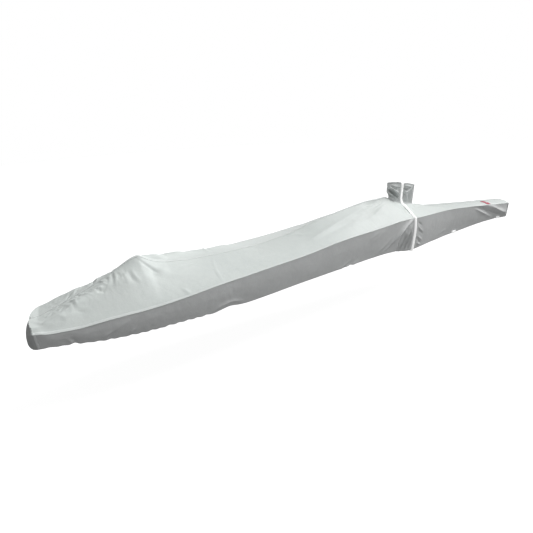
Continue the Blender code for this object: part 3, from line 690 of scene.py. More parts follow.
end_lines = {}
for name, ends, rake, flat in (("stern_end", STERN, STERN_RAKE, (0.115, 0.290)),
                               ("nose_end", NOSE, NOSE_RAKE, (0.145, 0.20))):
    k = 0 if ends is STERN else -1
    walls = {side: (side_lines[side][1][k], side_lines[side][2][k]) for side in SIDE_NAMES}
    degrees = [side * a for side, steps in ((-1, reversed(END_STEPS)), (1, END_STEPS))
               for a in steps]
    points = np.zeros((len(degrees), SIDE_ROWS + HEM_ROWS, 3))
    texture = np.zeros((len(degrees), SIDE_ROWS + HEM_ROWS, 2))
    for i, angle in enumerate(degrees):
        side = -1 if angle < 0 else 1
        port = (math.sin(math.radians(angle)) + 1) / 2
        y_wall = walls[-1][0] * (1 - port) + walls[1][0] * port
        z_wall = walls[-1][1] * (1 - port) + walls[1][1] * port
        end = ends[side]
        plan_x, plan_y, plan_z = edge_line(side)
        x, y = end_point(end, abs(angle), y_wall[0])
        upper = float(np.interp(x, plan_x, plan_z)) - CLOTH - SEAM_DROP
        squash = (upper - z_wall[SIDE_ROWS - 1]) / (z_wall[0] - z_wall[SIDE_ROWS - 1])
        for j, height in enumerate(z_wall):
            if j < SIDE_ROWS:
                height = upper + (height - z_wall[0]) * squash
            down = min(max((upper - height) / (upper - z_wall[-1]), 0.0), 1.0)
            free = math.sin(down * math.pi) * max(math.cos(math.radians(angle)), 0.0) ** 0.5
            out = y_wall[j] - y_wall[0]
            out += END_WRINKLE * free * noise.noise(Vector((angle / 14.0, down * 2.2, 5.0)))
            x, y = end_point(end, abs(angle), y_wall[0], out)
            lean = rake * math.cos(math.radians(angle)) * math.sqrt(down * (2 - down))
            points[i, j] = (x + end.direction * lean, side * y, height)
            texture[i, j] = (angle / 90.0 * y_wall[0] * 1.3, down * (upper - z_wall[-1]))
    points += BASE
    panel = sheet_object(name, points, texture)
    middle = Vector((ends[1].corner + STERN_X, 0, 0))
    give_thickness(panel, lambda place, middle=middle: (place - middle) * Vector((1, 1, 0)))
    # Its darker tones are painted shade.
    panel.data.materials.append(coated_cloth(name + "_cloth", END_SHADED_PALE, END_SHADED_DEEP))
    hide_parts(name + "_panel")
    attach(panel, "root")
    end_lines[name] = (degrees, points)


# ---- The seams ----------------------------------------------------------------------
# A folded strip of the cloth is sewn over the centreline, another round the edge of the
# top and one down each corner. The hem is sewn through a little above its fold.

STRIP = 0.0006            # thickness of a strip
STRIP_LIFT = 0.0009       # of its outer face over the cloth under it
CENTRE_COLUMNS = (-0.0065, -0.0045, 0.0, 0.0045, 0.0065)
CENTRE_PARTS = {"aft": (0.012, 2.212), "fore": (2.522, 3.696)}
# A point of the edge strip is its distance out from the edge seam and its rise over it.
EDGE_PROFILE = ((-0.0085, 0.0008), (-0.0060, 0.0010), (-0.0025, 0.0011), (0.0002, 0.0008),
                (0.0009, 0.0001), (0.0010, -0.0010), (0.0009, -0.0026))
STITCH_PITCH = 0.0060
STITCH_SIZE = (0.0018, 0.0005, 0.0003)     # half of its length, width and height
STITCH_LIFT = 0.0002      # of a stitch over its cloth
HEM_STITCH_ROW = 4        # rows of the side's wall above the fold


def distances(line):
    """How far along a line of points each of them lies."""
    return np.concatenate([[0.0], np.cumsum(np.linalg.norm(np.diff(line, axis=0), axis=1))])


def strip_object(name, points, outward, finish, closed=False):
    """A narrow folded strip of the cloth through a grid of points, in the cover's frame."""
    u, v = distances(points[:, 0]), distances(points[0])
    texture = np.stack(np.meshgrid(u, v, indexing="ij"), axis=-1)
    strip = sheet_object(name, points, texture, closed)
    give_thickness(strip, outward, STRIP)
    strip.data.materials.append(finish)
    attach(strip, "root")


def stitch_rows(name, rows, finish):
    """Rows of small stitches, each row a path of points and the way out of its cloth."""
    whole = bmesh.new()
    for path, outward in rows:
        path = np.asarray(path, float)
        outward = np.broadcast_to(np.asarray(outward, float), path.shape)
        walked = distances(path)
        count = max(int(walked[-1] / STITCH_PITCH), 1)
        bm = bmesh.new()
        for k in range(count):
            middle = (k + 0.5) * walked[-1] / count
            ends = [Vector([np.interp(middle + d, walked, path[:, a]) for a in range(3)])
                    for d in (-STITCH_SIZE[0], STITCH_SIZE[0])]
            up = Vector([np.interp(middle, walked, outward[:, a]) for a in range(3)])
            ahead = (ends[1] - ends[0]).normalized()
            across = up.cross(ahead).normalized()
            turned = Matrix((ahead, across, ahead.cross(across))).transposed().to_4x4()
            place = (Matrix.Translation((ends[0] + ends[1]) / 2) @ turned
                     @ Matrix.Diagonal((*STITCH_SIZE, 1.0)))
            bmesh.ops.create_icosphere(bm, subdivisions=1, radius=1.0, matrix=place)
        piece = bpy.data.meshes.new("row")
        bm.to_mesh(piece)
        bm.free()
        whole.from_mesh(piece)
        bpy.data.meshes.remove(piece)
    made = object_from(name, whole)
    made.data.materials.append(finish)
    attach(made, "root")


def woven(name, deep, pale, tone, waves, groove, own_values, on_shape=False, over="MULTIPLY"):
    """Thread work: an uneven tone, with grooves from one wave or from two that cross.

    A tone is the scale and detail of its unevenness. A wave is its spacing, distortion,
    direction and slant in degrees, and a groove its strength and depth.
    """
    made, tree, shader = new_finish(name, own_values)
    if on_shape:
        place = (node(tree, "ShaderNodeTexCoord"), "Object")
    else:
        place = (node(tree, "ShaderNodeUVMap", uv_map="flat"), "UV")
    uneven = node(tree, "ShaderNodeTexNoise", sockets={"Scale": tone[0], "Detail": tone[1]})
    ramp = two_tone(tree, deep, pale)
    grooves = node(tree, "ShaderNodeBump",
                   sockets={"Strength": groove[0], "Distance": groove[1]})
    crossed = []
    for spacing, distortion, direction, slant in waves:
        wave = node(tree, "ShaderNodeTexWave", bands_direction=direction,
                    sockets={"Scale": WAVE_PERIOD / spacing, "Distortion": distortion})
        if slant:
            turned = node(tree, "ShaderNodeMapping")
            turned.inputs["Rotation"].default_value = (0, 0, math.radians(slant))
            join(tree, (*place, turned, "Vector"), (turned, "Vector", wave, "Vector"))
        else:
            join(tree, (*place, wave, "Vector"))
        crossed.append((wave, "Fac"))
    if len(crossed) > 1:
        both = node(tree, "ShaderNodeMath", operation=over)
        join(tree, (*crossed[0], both, 0), (*crossed[1], both, 1))
        crossed = [(both, "Value")]
    join(tree, (*place, uneven, "Vector"), (uneven, "Fac", ramp, "Fac"),
         (ramp, "Color", shader, "Base Color"), (*crossed[0], grooves, "Height"),
         (grooves, "Normal", shader, "Normal"))
    return made


def thread(name, colour):
    """Twisted polyester thread."""
    return woven(name, [part * 0.82 for part in colour], colour, tone=(300.0, 2.0),
                 waves=[(0.0009, 1.0, "X", 0)], groove=(0.5, 0.0001),
                 own_values={"Roughness": 0.6, "Sheen Weight": 0.2}, on_shape=True)


seam_cloth = coated_cloth("seam_cloth", (0.70, 0.735, 0.72), (0.65, 0.69, 0.675), crinkle=0.12)
# The corner strips' tones run from the sides' deep tone to the ends' darker one, which is
# painted shade.
corner_cloth = coated_cloth("corner_cloth", SIDE_DEEP, END_SHADED_PALE, crinkle=0.12)
seam_thread = thread("seam_thread", (0.80, 0.83, 0.82))
seam_rows = []
for part, (aft, fore) in CENTRE_PARTS.items():
    along = np.linspace(aft, fore, round((fore - aft) / CELL))
    points = np.array([[(x, y, top_height(x, y) + STRIP_LIFT)
                        for y in CENTRE_COLUMNS] for x in along]) + BASE
    strip_object("centre_seam_" + part, points, lambda place: Vector((0, 0, 1)), seam_cloth)
    for column in (1, 3):
        seam_rows.append((points[:, column] + (0, 0, STITCH_LIFT), (0, 0, 1)))

ring = []
for side, order in ((-1, 1), (1, -1)):
    plan_x, plan_y, plan_z = edge_line(side)
    ahead = np.gradient(np.stack([plan_x, side * plan_y], axis=-1), axis=0)
    ahead /= np.linalg.norm(ahead, axis=1)[:, None]
    outward = np.stack([-side * ahead[:, 1], side * ahead[:, 0]], axis=-1)
    inner_z = top_grid[side][1][:, -2]
    rise = (inner_z - plan_z) / np.maximum(plan_y / TOP_COLUMNS, 0.0005)
    line = [[(x + nx * out, side * y + ny * out,
              z + up - min(out, 0.0) * np.clip(slope, -0.8, 0.8))
             for out, up in EDGE_PROFILE]
            for x, y, z, (nx, ny), slope in zip(plan_x, plan_y, plan_z, outward, rise)]
    ring += line[::order]
ring.append(ring[0])
ring = np.array(ring) + BASE
strip_object("edge_seam", ring, lambda place: Vector((0, 0, 1)), seam_cloth, closed=True)
seam_rows.append((ring[:, 1] + (0, 0, STITCH_LIFT), (0, 0, 1)))

for corner, ends in (("stern", STERN), ("nose", NOSE)):
    end_points = end_lines[corner + "_end"][1]
    for side, label in SIDE_NAMES.items():
        along, y_all, z_all = side_lines[side]
        direction = ends[side].direction
        k, step = (0, 1) if direction < 0 else (-1, -1)
        next_in = 1 if side < 0 else -2
        points = []
        for j in range(1, SIDE_ROWS + 5):
            on_side = (along[k + step], side * (y_all[k + step, j] + STRIP_LIFT),
                       z_all[k + step, j])
            at_corner = (along[k] + direction * STRIP_LIFT / 2,
                         side * (y_all[k, j] + STRIP_LIFT), z_all[k, j])
            away = Vector((direction, side, 0)).normalized() * STRIP_LIFT
            points.append([on_side, at_corner, end_points[next_in, j] - BASE + away])
        points = np.array(points) + BASE
        strip_object(f"{corner}_corner_seam_{label}", points,
                     lambda place, side=side: Vector((0, side, 0)), corner_cloth)

for side in SIDE_NAMES:
    along, y_all, z_all = side_lines[side]
    j = SIDE_ROWS - 1 - HEM_STITCH_ROW
    path = np.stack([along, side * (y_all[:, j] + STITCH_LIFT), z_all[:, j]], axis=-1)
    seam_rows.append((path + BASE, (0, side, 0)))
for name, (degrees, end_points) in end_lines.items():
    direction = -1 if name == "stern_end" else 1
    path = end_points[:, SIDE_ROWS - 1 - HEM_STITCH_ROW]
    outward = np.stack([direction * np.cos(np.radians(degrees)),
                        np.sin(np.radians(degrees)), np.zeros(len(degrees))], -1)
    seam_rows.append((path + outward * STITCH_LIFT * 1.5, outward))
stitch_rows("seam_stitches", seam_rows, seam_thread)


# ---- The sleeve ---------------------------------------------------------------------
# A short sleeve of the same cloth stands up round the mast foot. The tie presses it flat
# fore and aft, and its folds run in to the tie.

# Places along it: x, half of its thickness, sway of its rim to port and its rim's height.
SLEEVE_PLACES = np.array([
    (2.226, 0.0022, 0.002, 0.452), (2.246, 0.0028, -0.002, 0.453),
    (2.278, 0.0032, -0.004, 0.452), (2.312, 0.0032, 0.000, 0.448),
    (2.344, 0.0028, 0.002, 0.443), (2.362, 0.0024, 0.001, 0.436),
    (2.373, 0.0020, 0.000, 0.427), (2.384, 0.0024, -0.001, 0.428),
    (2.404, 0.0028, -0.003, 0.428), (2.436, 0.0032, 0.000, 0.424),
    (2.470, 0.0032, 0.003, 0.416), (2.494, 0.0026, 0.001, 0.409),
    (2.504, 0.0022, -0.001, 0.406),
])
SLEEVE_STEPS = 110
SLEEVE_ROWS = 52
SLEEVE_FOOT = ((0.0090, 0.0006), (0.0050, 0.0010), (0.0020, 0.0022), (0.0004, 0.0052))
SLEEVE_PINCH = 2.373
SLEEVE_PINCH_REACH = 0.013
SLEEVE_TUCK = 0.022       # how far the aft edge is drawn in, below SLEEVE_TUCK_TOP
SLEEVE_TUCK_TOP = 0.392
SLEEVE_TUCK_RUN = 0.036
SLEEVE_RIM_EASE = 0.016   # its folds die out over this height below its rim
SLEEVE_FOOT_Z = 0.30      # about where its foot meets the top
SLEEVE_THINNEST = 0.0009
SLEEVE_SHEET = 0.0007
SLEEVE_SLACK, SLEEVE_SEED = 1.6, 41.0
# A point is its x and its height over the hull's bottom. A ridge stands out to starboard.
SLEEVE_CREASES = creases(
    # The slack wing aft of the tie.
    (-33, 6, (2242, 402), (2278, 378), (2320, 348), (2352, 324)),
    (24, 5.6, (2246, 418), (2288, 392), (2332, 360), (2360, 338)),
    (20, 5.6, (2240, 386), (2270, 364), (2306, 340), (2338, 320)),
    (-18, 5.2, (2248, 366), (2272, 352), (2300, 336)),
    (-10, 6, (2262, 418), (2292, 406), (2326, 396), (2354, 396)),
    (5, 5.8, (2262, 432), (2300, 420), (2336, 410), (2358, 410)),
    (-3, 5.5, (2236, 440), (2270, 438), (2310, 432), (2350, 430)),
    (8, 5.8, (2306, 386), (2334, 374), (2358, 366)),
    # The wing forward of it.
    (-16, 5.6, (2388, 400), (2404, 388), (2428, 378), (2452, 384)),
    (13, 5.6, (2390, 378), (2420, 362), (2456, 378), (2486, 398)),
    (-13, 5.2, (2384, 366), (2400, 352), (2418, 350)),
    (8, 6.2, (2392, 414), (2430, 404), (2470, 396)),
    (-7, 6.5, (2404, 344), (2410, 324), (2412, 300)),
    (7, 6.5, (2424, 346), (2430, 322), (2432, 296)),
    (-6, 7, (2452, 358), (2456, 330), (2458, 294)),
    (5.5, 7, (2480, 380), (2482, 340), (2480, 292)),
)

sleeve_x = SLEEVE_PLACES[:, 0]
sleeve_along = np.linspace(sleeve_x[0], sleeve_x[-1], SLEEVE_STEPS)
sleeve_form = smooth_between(sleeve_x, SLEEVE_PLACES[:, 1:], sleeve_along)
shares = (sleeve_along - sleeve_x[0]) / (sleeve_x[-1] - sleeve_x[0])
half_round = np.clip(1 - abs(2 * shares - 1) ** 24, 0.0, 1) ** 0.5


def tucked(x, z):
    """Its aft edge is drawn in towards the foot."""
    aft = min(max((SLEEVE_PINCH - x) / (SLEEVE_PINCH - sleeve_x[0]), 0.0), 1.0)
    low = min(max((SLEEVE_TUCK_TOP - z) / SLEEVE_TUCK_RUN, 0.0), 1.0)
    return x + SLEEVE_TUCK * aft * low * low * (3 - 2 * low)


sleeve_points = []
for face in (-1, 1):
    order = range(SLEEVE_STEPS) if face < 0 else reversed(range(SLEEVE_STEPS))
    for i in order:
        x, (half, sway, rim) = sleeve_along[i], sleeve_form[i]
        half = max(half * half_round[i], SLEEVE_THINNEST)
        foot_x = tucked(x, SLEEVE_FOOT_Z)
        rows = []
        for j in range(SLEEVE_ROWS):
            if j < len(SLEEVE_FOOT):
                flare, rise = SLEEVE_FOOT[j]
                y = face * (half + flare)
                at = foot_x + flare * (-1 if i == 0 else 1 if i == SLEEVE_STEPS - 1 else 0)
                rows.append((at, y, top_height(at, y) + rise))
                continue
            share = (j - len(SLEEVE_FOOT) + 1) / (SLEEVE_ROWS - len(SLEEVE_FOOT))
            foot = top_height(foot_x, face * half) + SLEEVE_FOOT[-1][1]
            z = foot + (rim - foot) * share
            rows.append((tucked(x, z), face * half + sway * share, z))
        sleeve_points.append(rows)
sleeve_points.append(sleeve_points[0])
sleeve_points = np.array(sleeve_points)
x, z = sleeve_points[..., 0], sleeve_points[..., 2]
shares = np.clip((np.arange(SLEEVE_ROWS) - len(SLEEVE_FOOT)) / 7.0, 0, 1) ** 0.8
free = shares[None, :] * (1 - np.exp(-((x - SLEEVE_PINCH) / SLEEVE_PINCH_REACH) ** 2))
free = free * np.clip((z[:, -1:] - z) / SLEEVE_RIM_EASE, 0.12, 1)
free = free * (0.35 + 0.65 * np.clip((x - sleeve_x[0]) / 0.02, 0, 1)
               * np.clip((sleeve_x[-1] - x) / 0.02, 0, 1))
sleeve_points[..., 1] -= (crease_relief(x, z, SLEEVE_CREASES)
                          + SLEEVE_SLACK * unevenness(x, z, SLEEVE_SEED)) * free
column_step = (sleeve_x[-1] - sleeve_x[0]) / SLEEVE_STEPS
texture = np.stack(np.broadcast_arrays(
    np.arange(len(sleeve_points))[:, None] * column_step, z), axis=-1)
sleeve = sheet_object("sleeve", sleeve_points + BASE, texture, loop=True)
give_thickness(sleeve, lambda place: Vector((0, place.y, 0)), SLEEVE_SHEET)
sleeve.data.materials.append(
    coated_cloth("sleeve_cloth", (0.66, 0.685, 0.68), (0.60, 0.625, 0.62), crinkle=0.5))
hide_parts("mast_collar")
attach(sleeve, "root")

sleeve_rows = []
for row in (SLEEVE_ROWS - 3, len(SLEEVE_FOOT) + 1):
    line = sleeve_points[:, row] + BASE
    for face, part in ((-1, line[2:SLEEVE_STEPS - 2]), (1, line[SLEEVE_STEPS + 2:-3])):
        sleeve_rows.append((part + (0, face * STITCH_LIFT * 1.5, 0), (0, face, 0)))
stitch_rows("sleeve_stitches", sleeve_rows, seam_thread)


# ---- The tie ------------------------------------------------------------------------
# A flat white braid runs over the sleeve, down the top and both sides, and on under the
# hull, and holds the cover down. It is spliced into a loop.

TIE_HALF_WIDTH = 0.0094
TIE_HALF_DEPTH = 0.0040
TIE_SEAT = 0.0006
TIE_SAMPLES = 24          # steps between two points of its route
TIE_STEP = 0.004          # spacing of its own points
TIE_SIDES = 20
TIE_ROUND = 0.036         # its girth
TIE_RIPPLE, TIE_RIPPLE_PITCH = 0.035, 0.009
TIE_PRESSED = 0.0022      # half of the sleeve's thickness where the tie presses it
TIE_OVER_SLEEVE = 0.4312  # its height where it crosses the sleeve
TIE_DOWN_SLEEVE = (0.416, 0.400, 0.380, 0.360, 0.340, 0.322)
TIE_FOOT = ((2.3735, 0.0125, 0.0100), (2.3738, 0.0200, 0.0016))
TIE_DECK = ((2.373, 0.034), (2.368, 0.062), (2.360, 0.093), (2.350, 0.122), (2.340, 0.142))
TIE_EDGE = ((2.3350, -0.006, 0.0068), (2.3340, 0.0050, 0.0030))
TIE_SIDE = ((2.334, 0.012), (2.336, 0.045), (2.340, 0.090), (2.341, 0.130), (2.341, 0.170))
TIE_HEM_X = 2.350
TIE_BELOW = ((2.341, 0.0065, 0.010), (2.341, 0.0030, -0.0030), (2.342, -0.010, -0.0050),
             (2.344, -0.060, -0.0052), (2.344, -0.124, -0.0052))


def side_out(side, x, z, reach=0.007):
    """How far out the side's outer face stands at x and a height, over a stretch of x."""
    along, y_all, z_all = side_lines[side]
    near = np.flatnonzero(abs(along - x) <= reach)
    return max(float(np.interp(-z, -z_all[k, :SIDE_ROWS], y_all[k, :SIDE_ROWS])) for k in near)


tie_halves = {}
for side in (-1, 1):
    plan_x, plan_y, plan_z = edge_line(side)
    half = [(SLEEVE_PINCH, TIE_PRESSED + TIE_SEAT + TIE_HALF_DEPTH, z) for z in TIE_DOWN_SLEEVE]
    half += [(x, y, top_height(x, side * y) + z + TIE_HALF_DEPTH + TIE_SEAT)
             for x, y, z in TIE_FOOT]
    half += [(x, y, max(top_height(x + d, side * y) for d in (-0.006, 0.0, 0.006))
              + TIE_SEAT + TIE_HALF_DEPTH) for x, y in TIE_DECK]
    half += [(x, float(np.interp(x, plan_x, plan_y)) + out,
              float(np.interp(x, plan_x, plan_z)) + up) for x, out, up in TIE_EDGE]
    for x, depth in TIE_SIDE:
        z = float(np.interp(x, plan_x, plan_z)) - depth
        half.append((x, side_out(side, x, z) + TIE_SEAT + TIE_HALF_DEPTH, z))
    along, y_all, z_all = side_lines[side]
    hem_z = float(np.interp(TIE_HEM_X, along, z_all[:, -1]))
    hem_y = float(np.interp(TIE_HEM_X, along, y_all[:, SIDE_ROWS - 1]))
    half += [(x, hem_y + out, hem_z + up) for x, out, up in TIE_BELOW]
    tie_halves[side] = half
tie_route = ([(SLEEVE_PINCH, 0.0, TIE_OVER_SLEEVE)]
             + [(x, -y, z) for x, y, z in tie_halves[-1]]
             + [(x, y, z) for x, y, z in reversed(tie_halves[1])])
tie_line = []
for k in range(len(tie_route)):
    p0, p1, p2, p3 = (Vector(tie_route[(k + d) % len(tie_route)]) for d in (-1, 0, 1, 2))
    for step in range(TIE_SAMPLES):
        t = step / TIE_SAMPLES
        tie_line.append(0.5 * (2 * p1 + (p2 - p0) * t + (2 * p0 - 5 * p1 + 4 * p2 - p3) * t * t
                               + (3 * p1 - p0 - 3 * p2 + p3) * t ** 3))
tie_line = np.array(tie_line)
closed_line = np.vstack([tie_line, tie_line[:1]])
walked = distances(closed_line)
count = round(walked[-1] / TIE_STEP)
even = np.array([[np.interp(s, walked, closed_line[:, a]) for a in range(3)]
                 for s in np.linspace(0, walked[-1], count + 1)])
for turn in range(2):
    even[1:-1] = (even[:-2] + 2 * even[1:-1] + even[2:]) / 4
ahead = np.vstack([even[1] - even[-2], even[2:] - even[:-2], even[1] - even[-2]])
ahead /= np.linalg.norm(ahead, axis=1)[:, None]
outward = np.cross(ahead, (1.0, 0.0, 0.0))
outward /= np.linalg.norm(outward, axis=1)[:, None]
across = np.cross(outward, ahead)
turn = np.linspace(0, math.tau, TIE_SIDES + 1)
reached = np.linspace(0, walked[-1], count + 1)
ripple = 1 + TIE_RIPPLE * np.sin(reached * math.tau / TIE_RIPPLE_PITCH)
tie_points = (even[:, None, :]
              + (TIE_HALF_DEPTH * np.cos(turn))[None, :, None] * outward[:, None, :]
              + (TIE_HALF_WIDTH * ripple[:, None] * np.sin(turn)[None, :])[..., None]
              * across[:, None, :])
tie_points[-1], tie_points[:, -1] = tie_points[0], tie_points[:, 0]
texture = np.stack(np.broadcast_arrays(
    reached[:, None], turn[None, :] / math.tau * TIE_ROUND), axis=-1)
tie = sheet_object("tie", tie_points + BASE, texture, loop=True)
bm = bmesh.new()
bm.from_mesh(tie.data)
bmesh.ops.recalc_face_normals(bm, faces=bm.faces)
bm.to_mesh(tie.data)
bm.free()

# The braid's faint white glow is painted light: it keeps the tie white on its shaded faces.
tie.data.materials.append(woven(
    "tie_braid_painted_glow", (0.90, 0.90, 0.89), (0.97, 0.97, 0.965), tone=(220.0, 3.0),
    waves=[(0.0042, 0.3, "X", 32.0), (0.0042, 0.3, "X", -32.0)], groove=(0.7, 0.0005),
    own_values={"Roughness": 0.62, "Sheen Weight": 0.25, "Sheen Roughness": 0.4,
                "Emission Color": (1.0, 1.0, 1.0, 1.0), "Emission Strength": 0.42},
    over="MAXIMUM"))
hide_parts("tie_loop")
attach(tie, "root")


# ---- The tabs -----------------------------------------------------------------------
# Four short tabs of white webbing are folded double and sewn to the outside of the hem,
# with a box of stitches. Each takes the end of a strap that goes under the hull.

TAB_PLACES = (2.922, 3.539)
TAB_LENGTH = 0.044
TAB_HEIGHT = 0.021
TAB_HANG = 0.001          # how far its fold hangs below the hem
TAB_SHEET = 0.0009
TAB_OUT = 0.0013          # of its inner layer's outer face over the cloth
TAB_FOLD = 0.0011         # half of the space between its two layers
TAB_SEAT = 0.0008
TAB_STEPS = 16
TAB_MARGIN, TAB_BOX = 0.004, (0.006, 0.017)    # of its stitches, from its edges and fold

# The webbing's faint white glow is painted light: it keeps the tabs white in the shade under the
# hem.
webbing = woven(
    "tab_webbing", (0.86, 0.87, 0.865), (0.95, 0.955, 0.95), tone=(240.0, 3.0),
    waves=[(0.0022, 0.2, "X", 0), (0.0010, 0.4, "Y", 0)], groove=(0.6, 0.0003),
    own_values={"Roughness": 0.6, "Sheen Weight": 0.2,
                "Emission Color": (1.0, 1.0, 1.0, 1.0), "Emission Strength": 0.38})
tab_thread = thread("tab_thread", (0.78, 0.80, 0.79))

for side, label in SIDE_NAMES.items():
    for index, place_x in enumerate(TAB_PLACES, 1):
        along, y_all, z_all = side_lines[side]
        aft, fore = place_x - TAB_LENGTH / 2, place_x + TAB_LENGTH / 2
        points = []
        # Its section, from the hull side up and over: out from the cloth and up the hem.
        section = [(TAB_OUT, TAB_HEIGHT), (TAB_OUT, 0.011), (TAB_OUT, 0.006)]
        section += [(TAB_OUT + TAB_FOLD * (1 - math.cos(a)) * 0.9,
                     0.0026 - 0.0016 * math.sin(a)) for a in np.linspace(0, math.pi, 9)]
        section += [(TAB_OUT + TAB_FOLD * 1.8, z) for z in (0.006, 0.011)]
        section += [(TAB_OUT + TAB_FOLD * 1.7, TAB_HEIGHT)]
        for i in range(TAB_STEPS + 1):
            x = aft + TAB_LENGTH * i / TAB_STEPS
            low = float(np.interp(x, along, z_all[:, -1])) - TAB_HANG
            wall = max(side_out(side, x, low + up, 0.004) for up in (0.011, 0.015, TAB_HEIGHT))
            points.append([(x, side * (wall + TAB_SEAT + out), low + up)
                           for out, up in section])
        points = np.array(points)
        beams = np.interp(points[:, 0, 0], along, y_all[:, SIDE_ROWS - 1])
        proud = (side * points[:, 0, 1] - beams).max()
        points[..., 1] += side * (beams + proud - side * points[:, 0, 1])[:, None]
        run = distances(points[0])
        texture = np.stack(np.meshgrid(np.linspace(0, TAB_LENGTH, TAB_STEPS + 1), run,
                                       indexing="ij"), -1)
        name = f"hem_tab_{label}_{index}"
        tab = sheet_object(name + "_webbing", points + BASE, texture)
        give_thickness(tab, lambda place, side=side: Vector((0, side, 0)), TAB_SHEET)
        tab.data.materials.append(webbing)
        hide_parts(name)
        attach(tab, "root")
        box = []
        left, right, (low_row, high_row) = aft + TAB_MARGIN, fore - TAB_MARGIN, TAB_BOX
        for x, up in ((left, low_row), (right, low_row), (right, high_row), (left, high_row),
                      (left, low_row)):
            low = float(np.interp(x, along, z_all[:, -1])) - TAB_HANG
            near = points[round((x - aft) / TAB_LENGTH * TAB_STEPS), :, 1]
            face = near.max() if side > 0 else near.min()
            box.append((x, face + side * STITCH_LIFT, low + up))
        stitch_rows(name + "_stitches", [(np.array(box) + BASE, (0, side, 0))],
                    tab_thread)


# ---- The patch ----------------------------------------------------------------------
# A plain dark red woven patch with an overcast edge is sewn to the near half of the
# foredeck.

PATCH_X = (3.366, 3.418)
PATCH_Y = (-0.009, -0.078)
PATCH_SHEET = 0.0007
PATCH_LIFT = 0.0013       # of its outer face over the top
PATCH_STEPS = (18, 22)
OVERCAST_PITCH, OVERCAST_DEPTH = 0.0011, 0.0016
# A stitch of the edge runs in only along an axis on which it is this far from the middle.
PATCH_INNER = (0.0255, 0.0340, 1.0)
PATCH_PALE = (0.52, 0.035, 0.085)
PATCH_DEEP = (0.40, 0.020, 0.060)

points = np.array([[(x, y, top_height(x, y) + PATCH_LIFT)
                    for y in np.linspace(*PATCH_Y, PATCH_STEPS[1] + 1)]
                   for x in np.linspace(*PATCH_X, PATCH_STEPS[0] + 1)]) + BASE
patch = sheet_object("patch", points, points[..., :2])
give_thickness(patch, lambda place: Vector((0, 0, 1)), PATCH_SHEET)
patch.data.materials.append(woven(
    "patch_twill", PATCH_DEEP, PATCH_PALE, tone=(90.0, 4.0), waves=[(0.0012, 0.6, "X", 45)],
    groove=(0.6, 0.0002), own_values={"Roughness": 0.7, "Sheen Weight": 0.3}))
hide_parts("bow_patch")
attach(patch, "root")

rim = np.vstack([points[:, 0], points[-1, 1:], points[::-1, -1][1:], points[0, ::-1][1:]])
edge_rows = []
centre = points.reshape(-1, 3).mean(axis=0)
walked = distances(rim)
for s in np.arange(0.0, walked[-1], OVERCAST_PITCH):
    at = np.array([np.interp(s, walked, rim[:, a]) for a in range(3)])
    away = centre - at
    inward = np.clip(away, -OVERCAST_DEPTH, OVERCAST_DEPTH) * (abs(away) > PATCH_INNER)
    edge_rows.append(((at + (0, 0, STITCH_LIFT), at + inward + (0, 0, 2 * STITCH_LIFT)),
                      (0, 0, 1)))
patch_thread = thread("patch_thread", (0.50, 0.03, 0.075))
stitch_rows("patch_edge", edge_rows, patch_thread)


# ---- Floor, light and backdrop -------------------------------------------------------
# A plain pale floor runs back to a pale backdrop, under soft light from above and ahead.

FLOOR_Z = -0.72
FLOOR_SIZE = 14.0
FLOOR_TONE, FLOOR_GLOW = (0.26, 0.26, 0.26, 1.0), 0.92
SKY_LOW, SKY_HIGH = 0.17, 0.30         # the sky's strength below and above the horizon
KEY_POWER, KEY_SPREAD, KEY_FROM = 2.95, 34, (0.85, -0.10, 1.0)


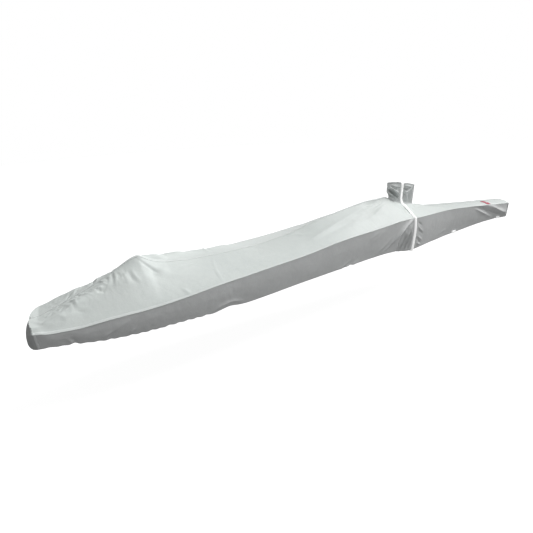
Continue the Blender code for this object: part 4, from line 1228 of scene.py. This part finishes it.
def stage_object(name, bm, own_values, unseen_by):
    """A part of the studio, which glows evenly and which some rays pass by."""
    made = object_from(name, bm)
    made.data.materials.append(new_finish(name, {
        "Specular IOR Level": 0.0, "Emission Color": (1.0, 1.0, 1.0, 1.0), **own_values})[0])
    for ray in unseen_by:
        setattr(made, "visible_" + ray, False)
    made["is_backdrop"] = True


bm = bmesh.new()
bmesh.ops.create_circle(bm, cap_ends=True, segments=96, radius=FLOOR_SIZE)
bmesh.ops.translate(bm, verts=bm.verts, vec=(0, 0, FLOOR_Z))
stage_object("floor", bm, {"Base Color": FLOOR_TONE, "Roughness": 0.9,
                           "Emission Strength": FLOOR_GLOW}, ("diffuse", "glossy"))

world = bpy.data.worlds.new("studio")
world.use_nodes = True
tree = world.node_tree
sky = tree.nodes["Background"]
sky.inputs["Color"].default_value = (1.0, 1.0, 1.0, 1.0)
above = node(tree, "ShaderNodeTexCoord")
split = node(tree, "ShaderNodeSeparateXYZ")
fade = node(tree, "ShaderNodeMapRange",
            sockets={"From Min": -0.35, "From Max": 0.45, "To Min": SKY_LOW, "To Max": SKY_HIGH})
join(tree, (above, "Generated", split, "Vector"), (split, "Z", fade, "Value"),
     (fade, "Result", sky, "Strength"))
bpy.context.scene.world = world

bm = bmesh.new()
bmesh.ops.create_uvsphere(bm, u_segments=48, v_segments=24, radius=FLOOR_SIZE)
bmesh.ops.reverse_faces(bm, faces=bm.faces)
stage_object("backdrop", bm, {"Base Color": (0.0, 0.0, 0.0, 1.0), "Emission Strength": 1.0},
             ("diffuse", "glossy", "shadow", "transmission"))

key = bpy.data.lights.new("key", "SUN")
key.energy = KEY_POWER
key.angle = math.radians(KEY_SPREAD)
lamp = bpy.data.objects.new("key", key)
lamp.rotation_euler = Vector(KEY_FROM).to_track_quat("Z", "Y").to_euler()
bpy.context.scene.collection.objects.link(lamp)

# Three broad soft lamps: where each stands, what it is aimed at, its size and its power.
for place, target, size, power in (((2.5, -3.1, 0.6), (0.8, 0.0, -0.2), 2.2, 6.0),
                                   ((0.2, -4.2, 0.3), (0.0, 0.0, -0.2), 2.4, 21.0),
                                   ((0.8, 4.2, 0.5), (0.2, 0.0, -0.2), 2.4, 22.0)):
    fill = bpy.data.lights.new("fill", "AREA")
    fill.shape = "DISK"
    fill.size = size
    fill.energy = power
    lamp = bpy.data.objects.new("fill", fill)
    lamp.location = place
    lamp.rotation_euler = (Vector(place) - Vector(target)).to_track_quat("Z", "Y").to_euler()
    bpy.context.scene.collection.objects.link(lamp)
bpy.context.scene.view_settings.view_transform = "Standard"

low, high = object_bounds()
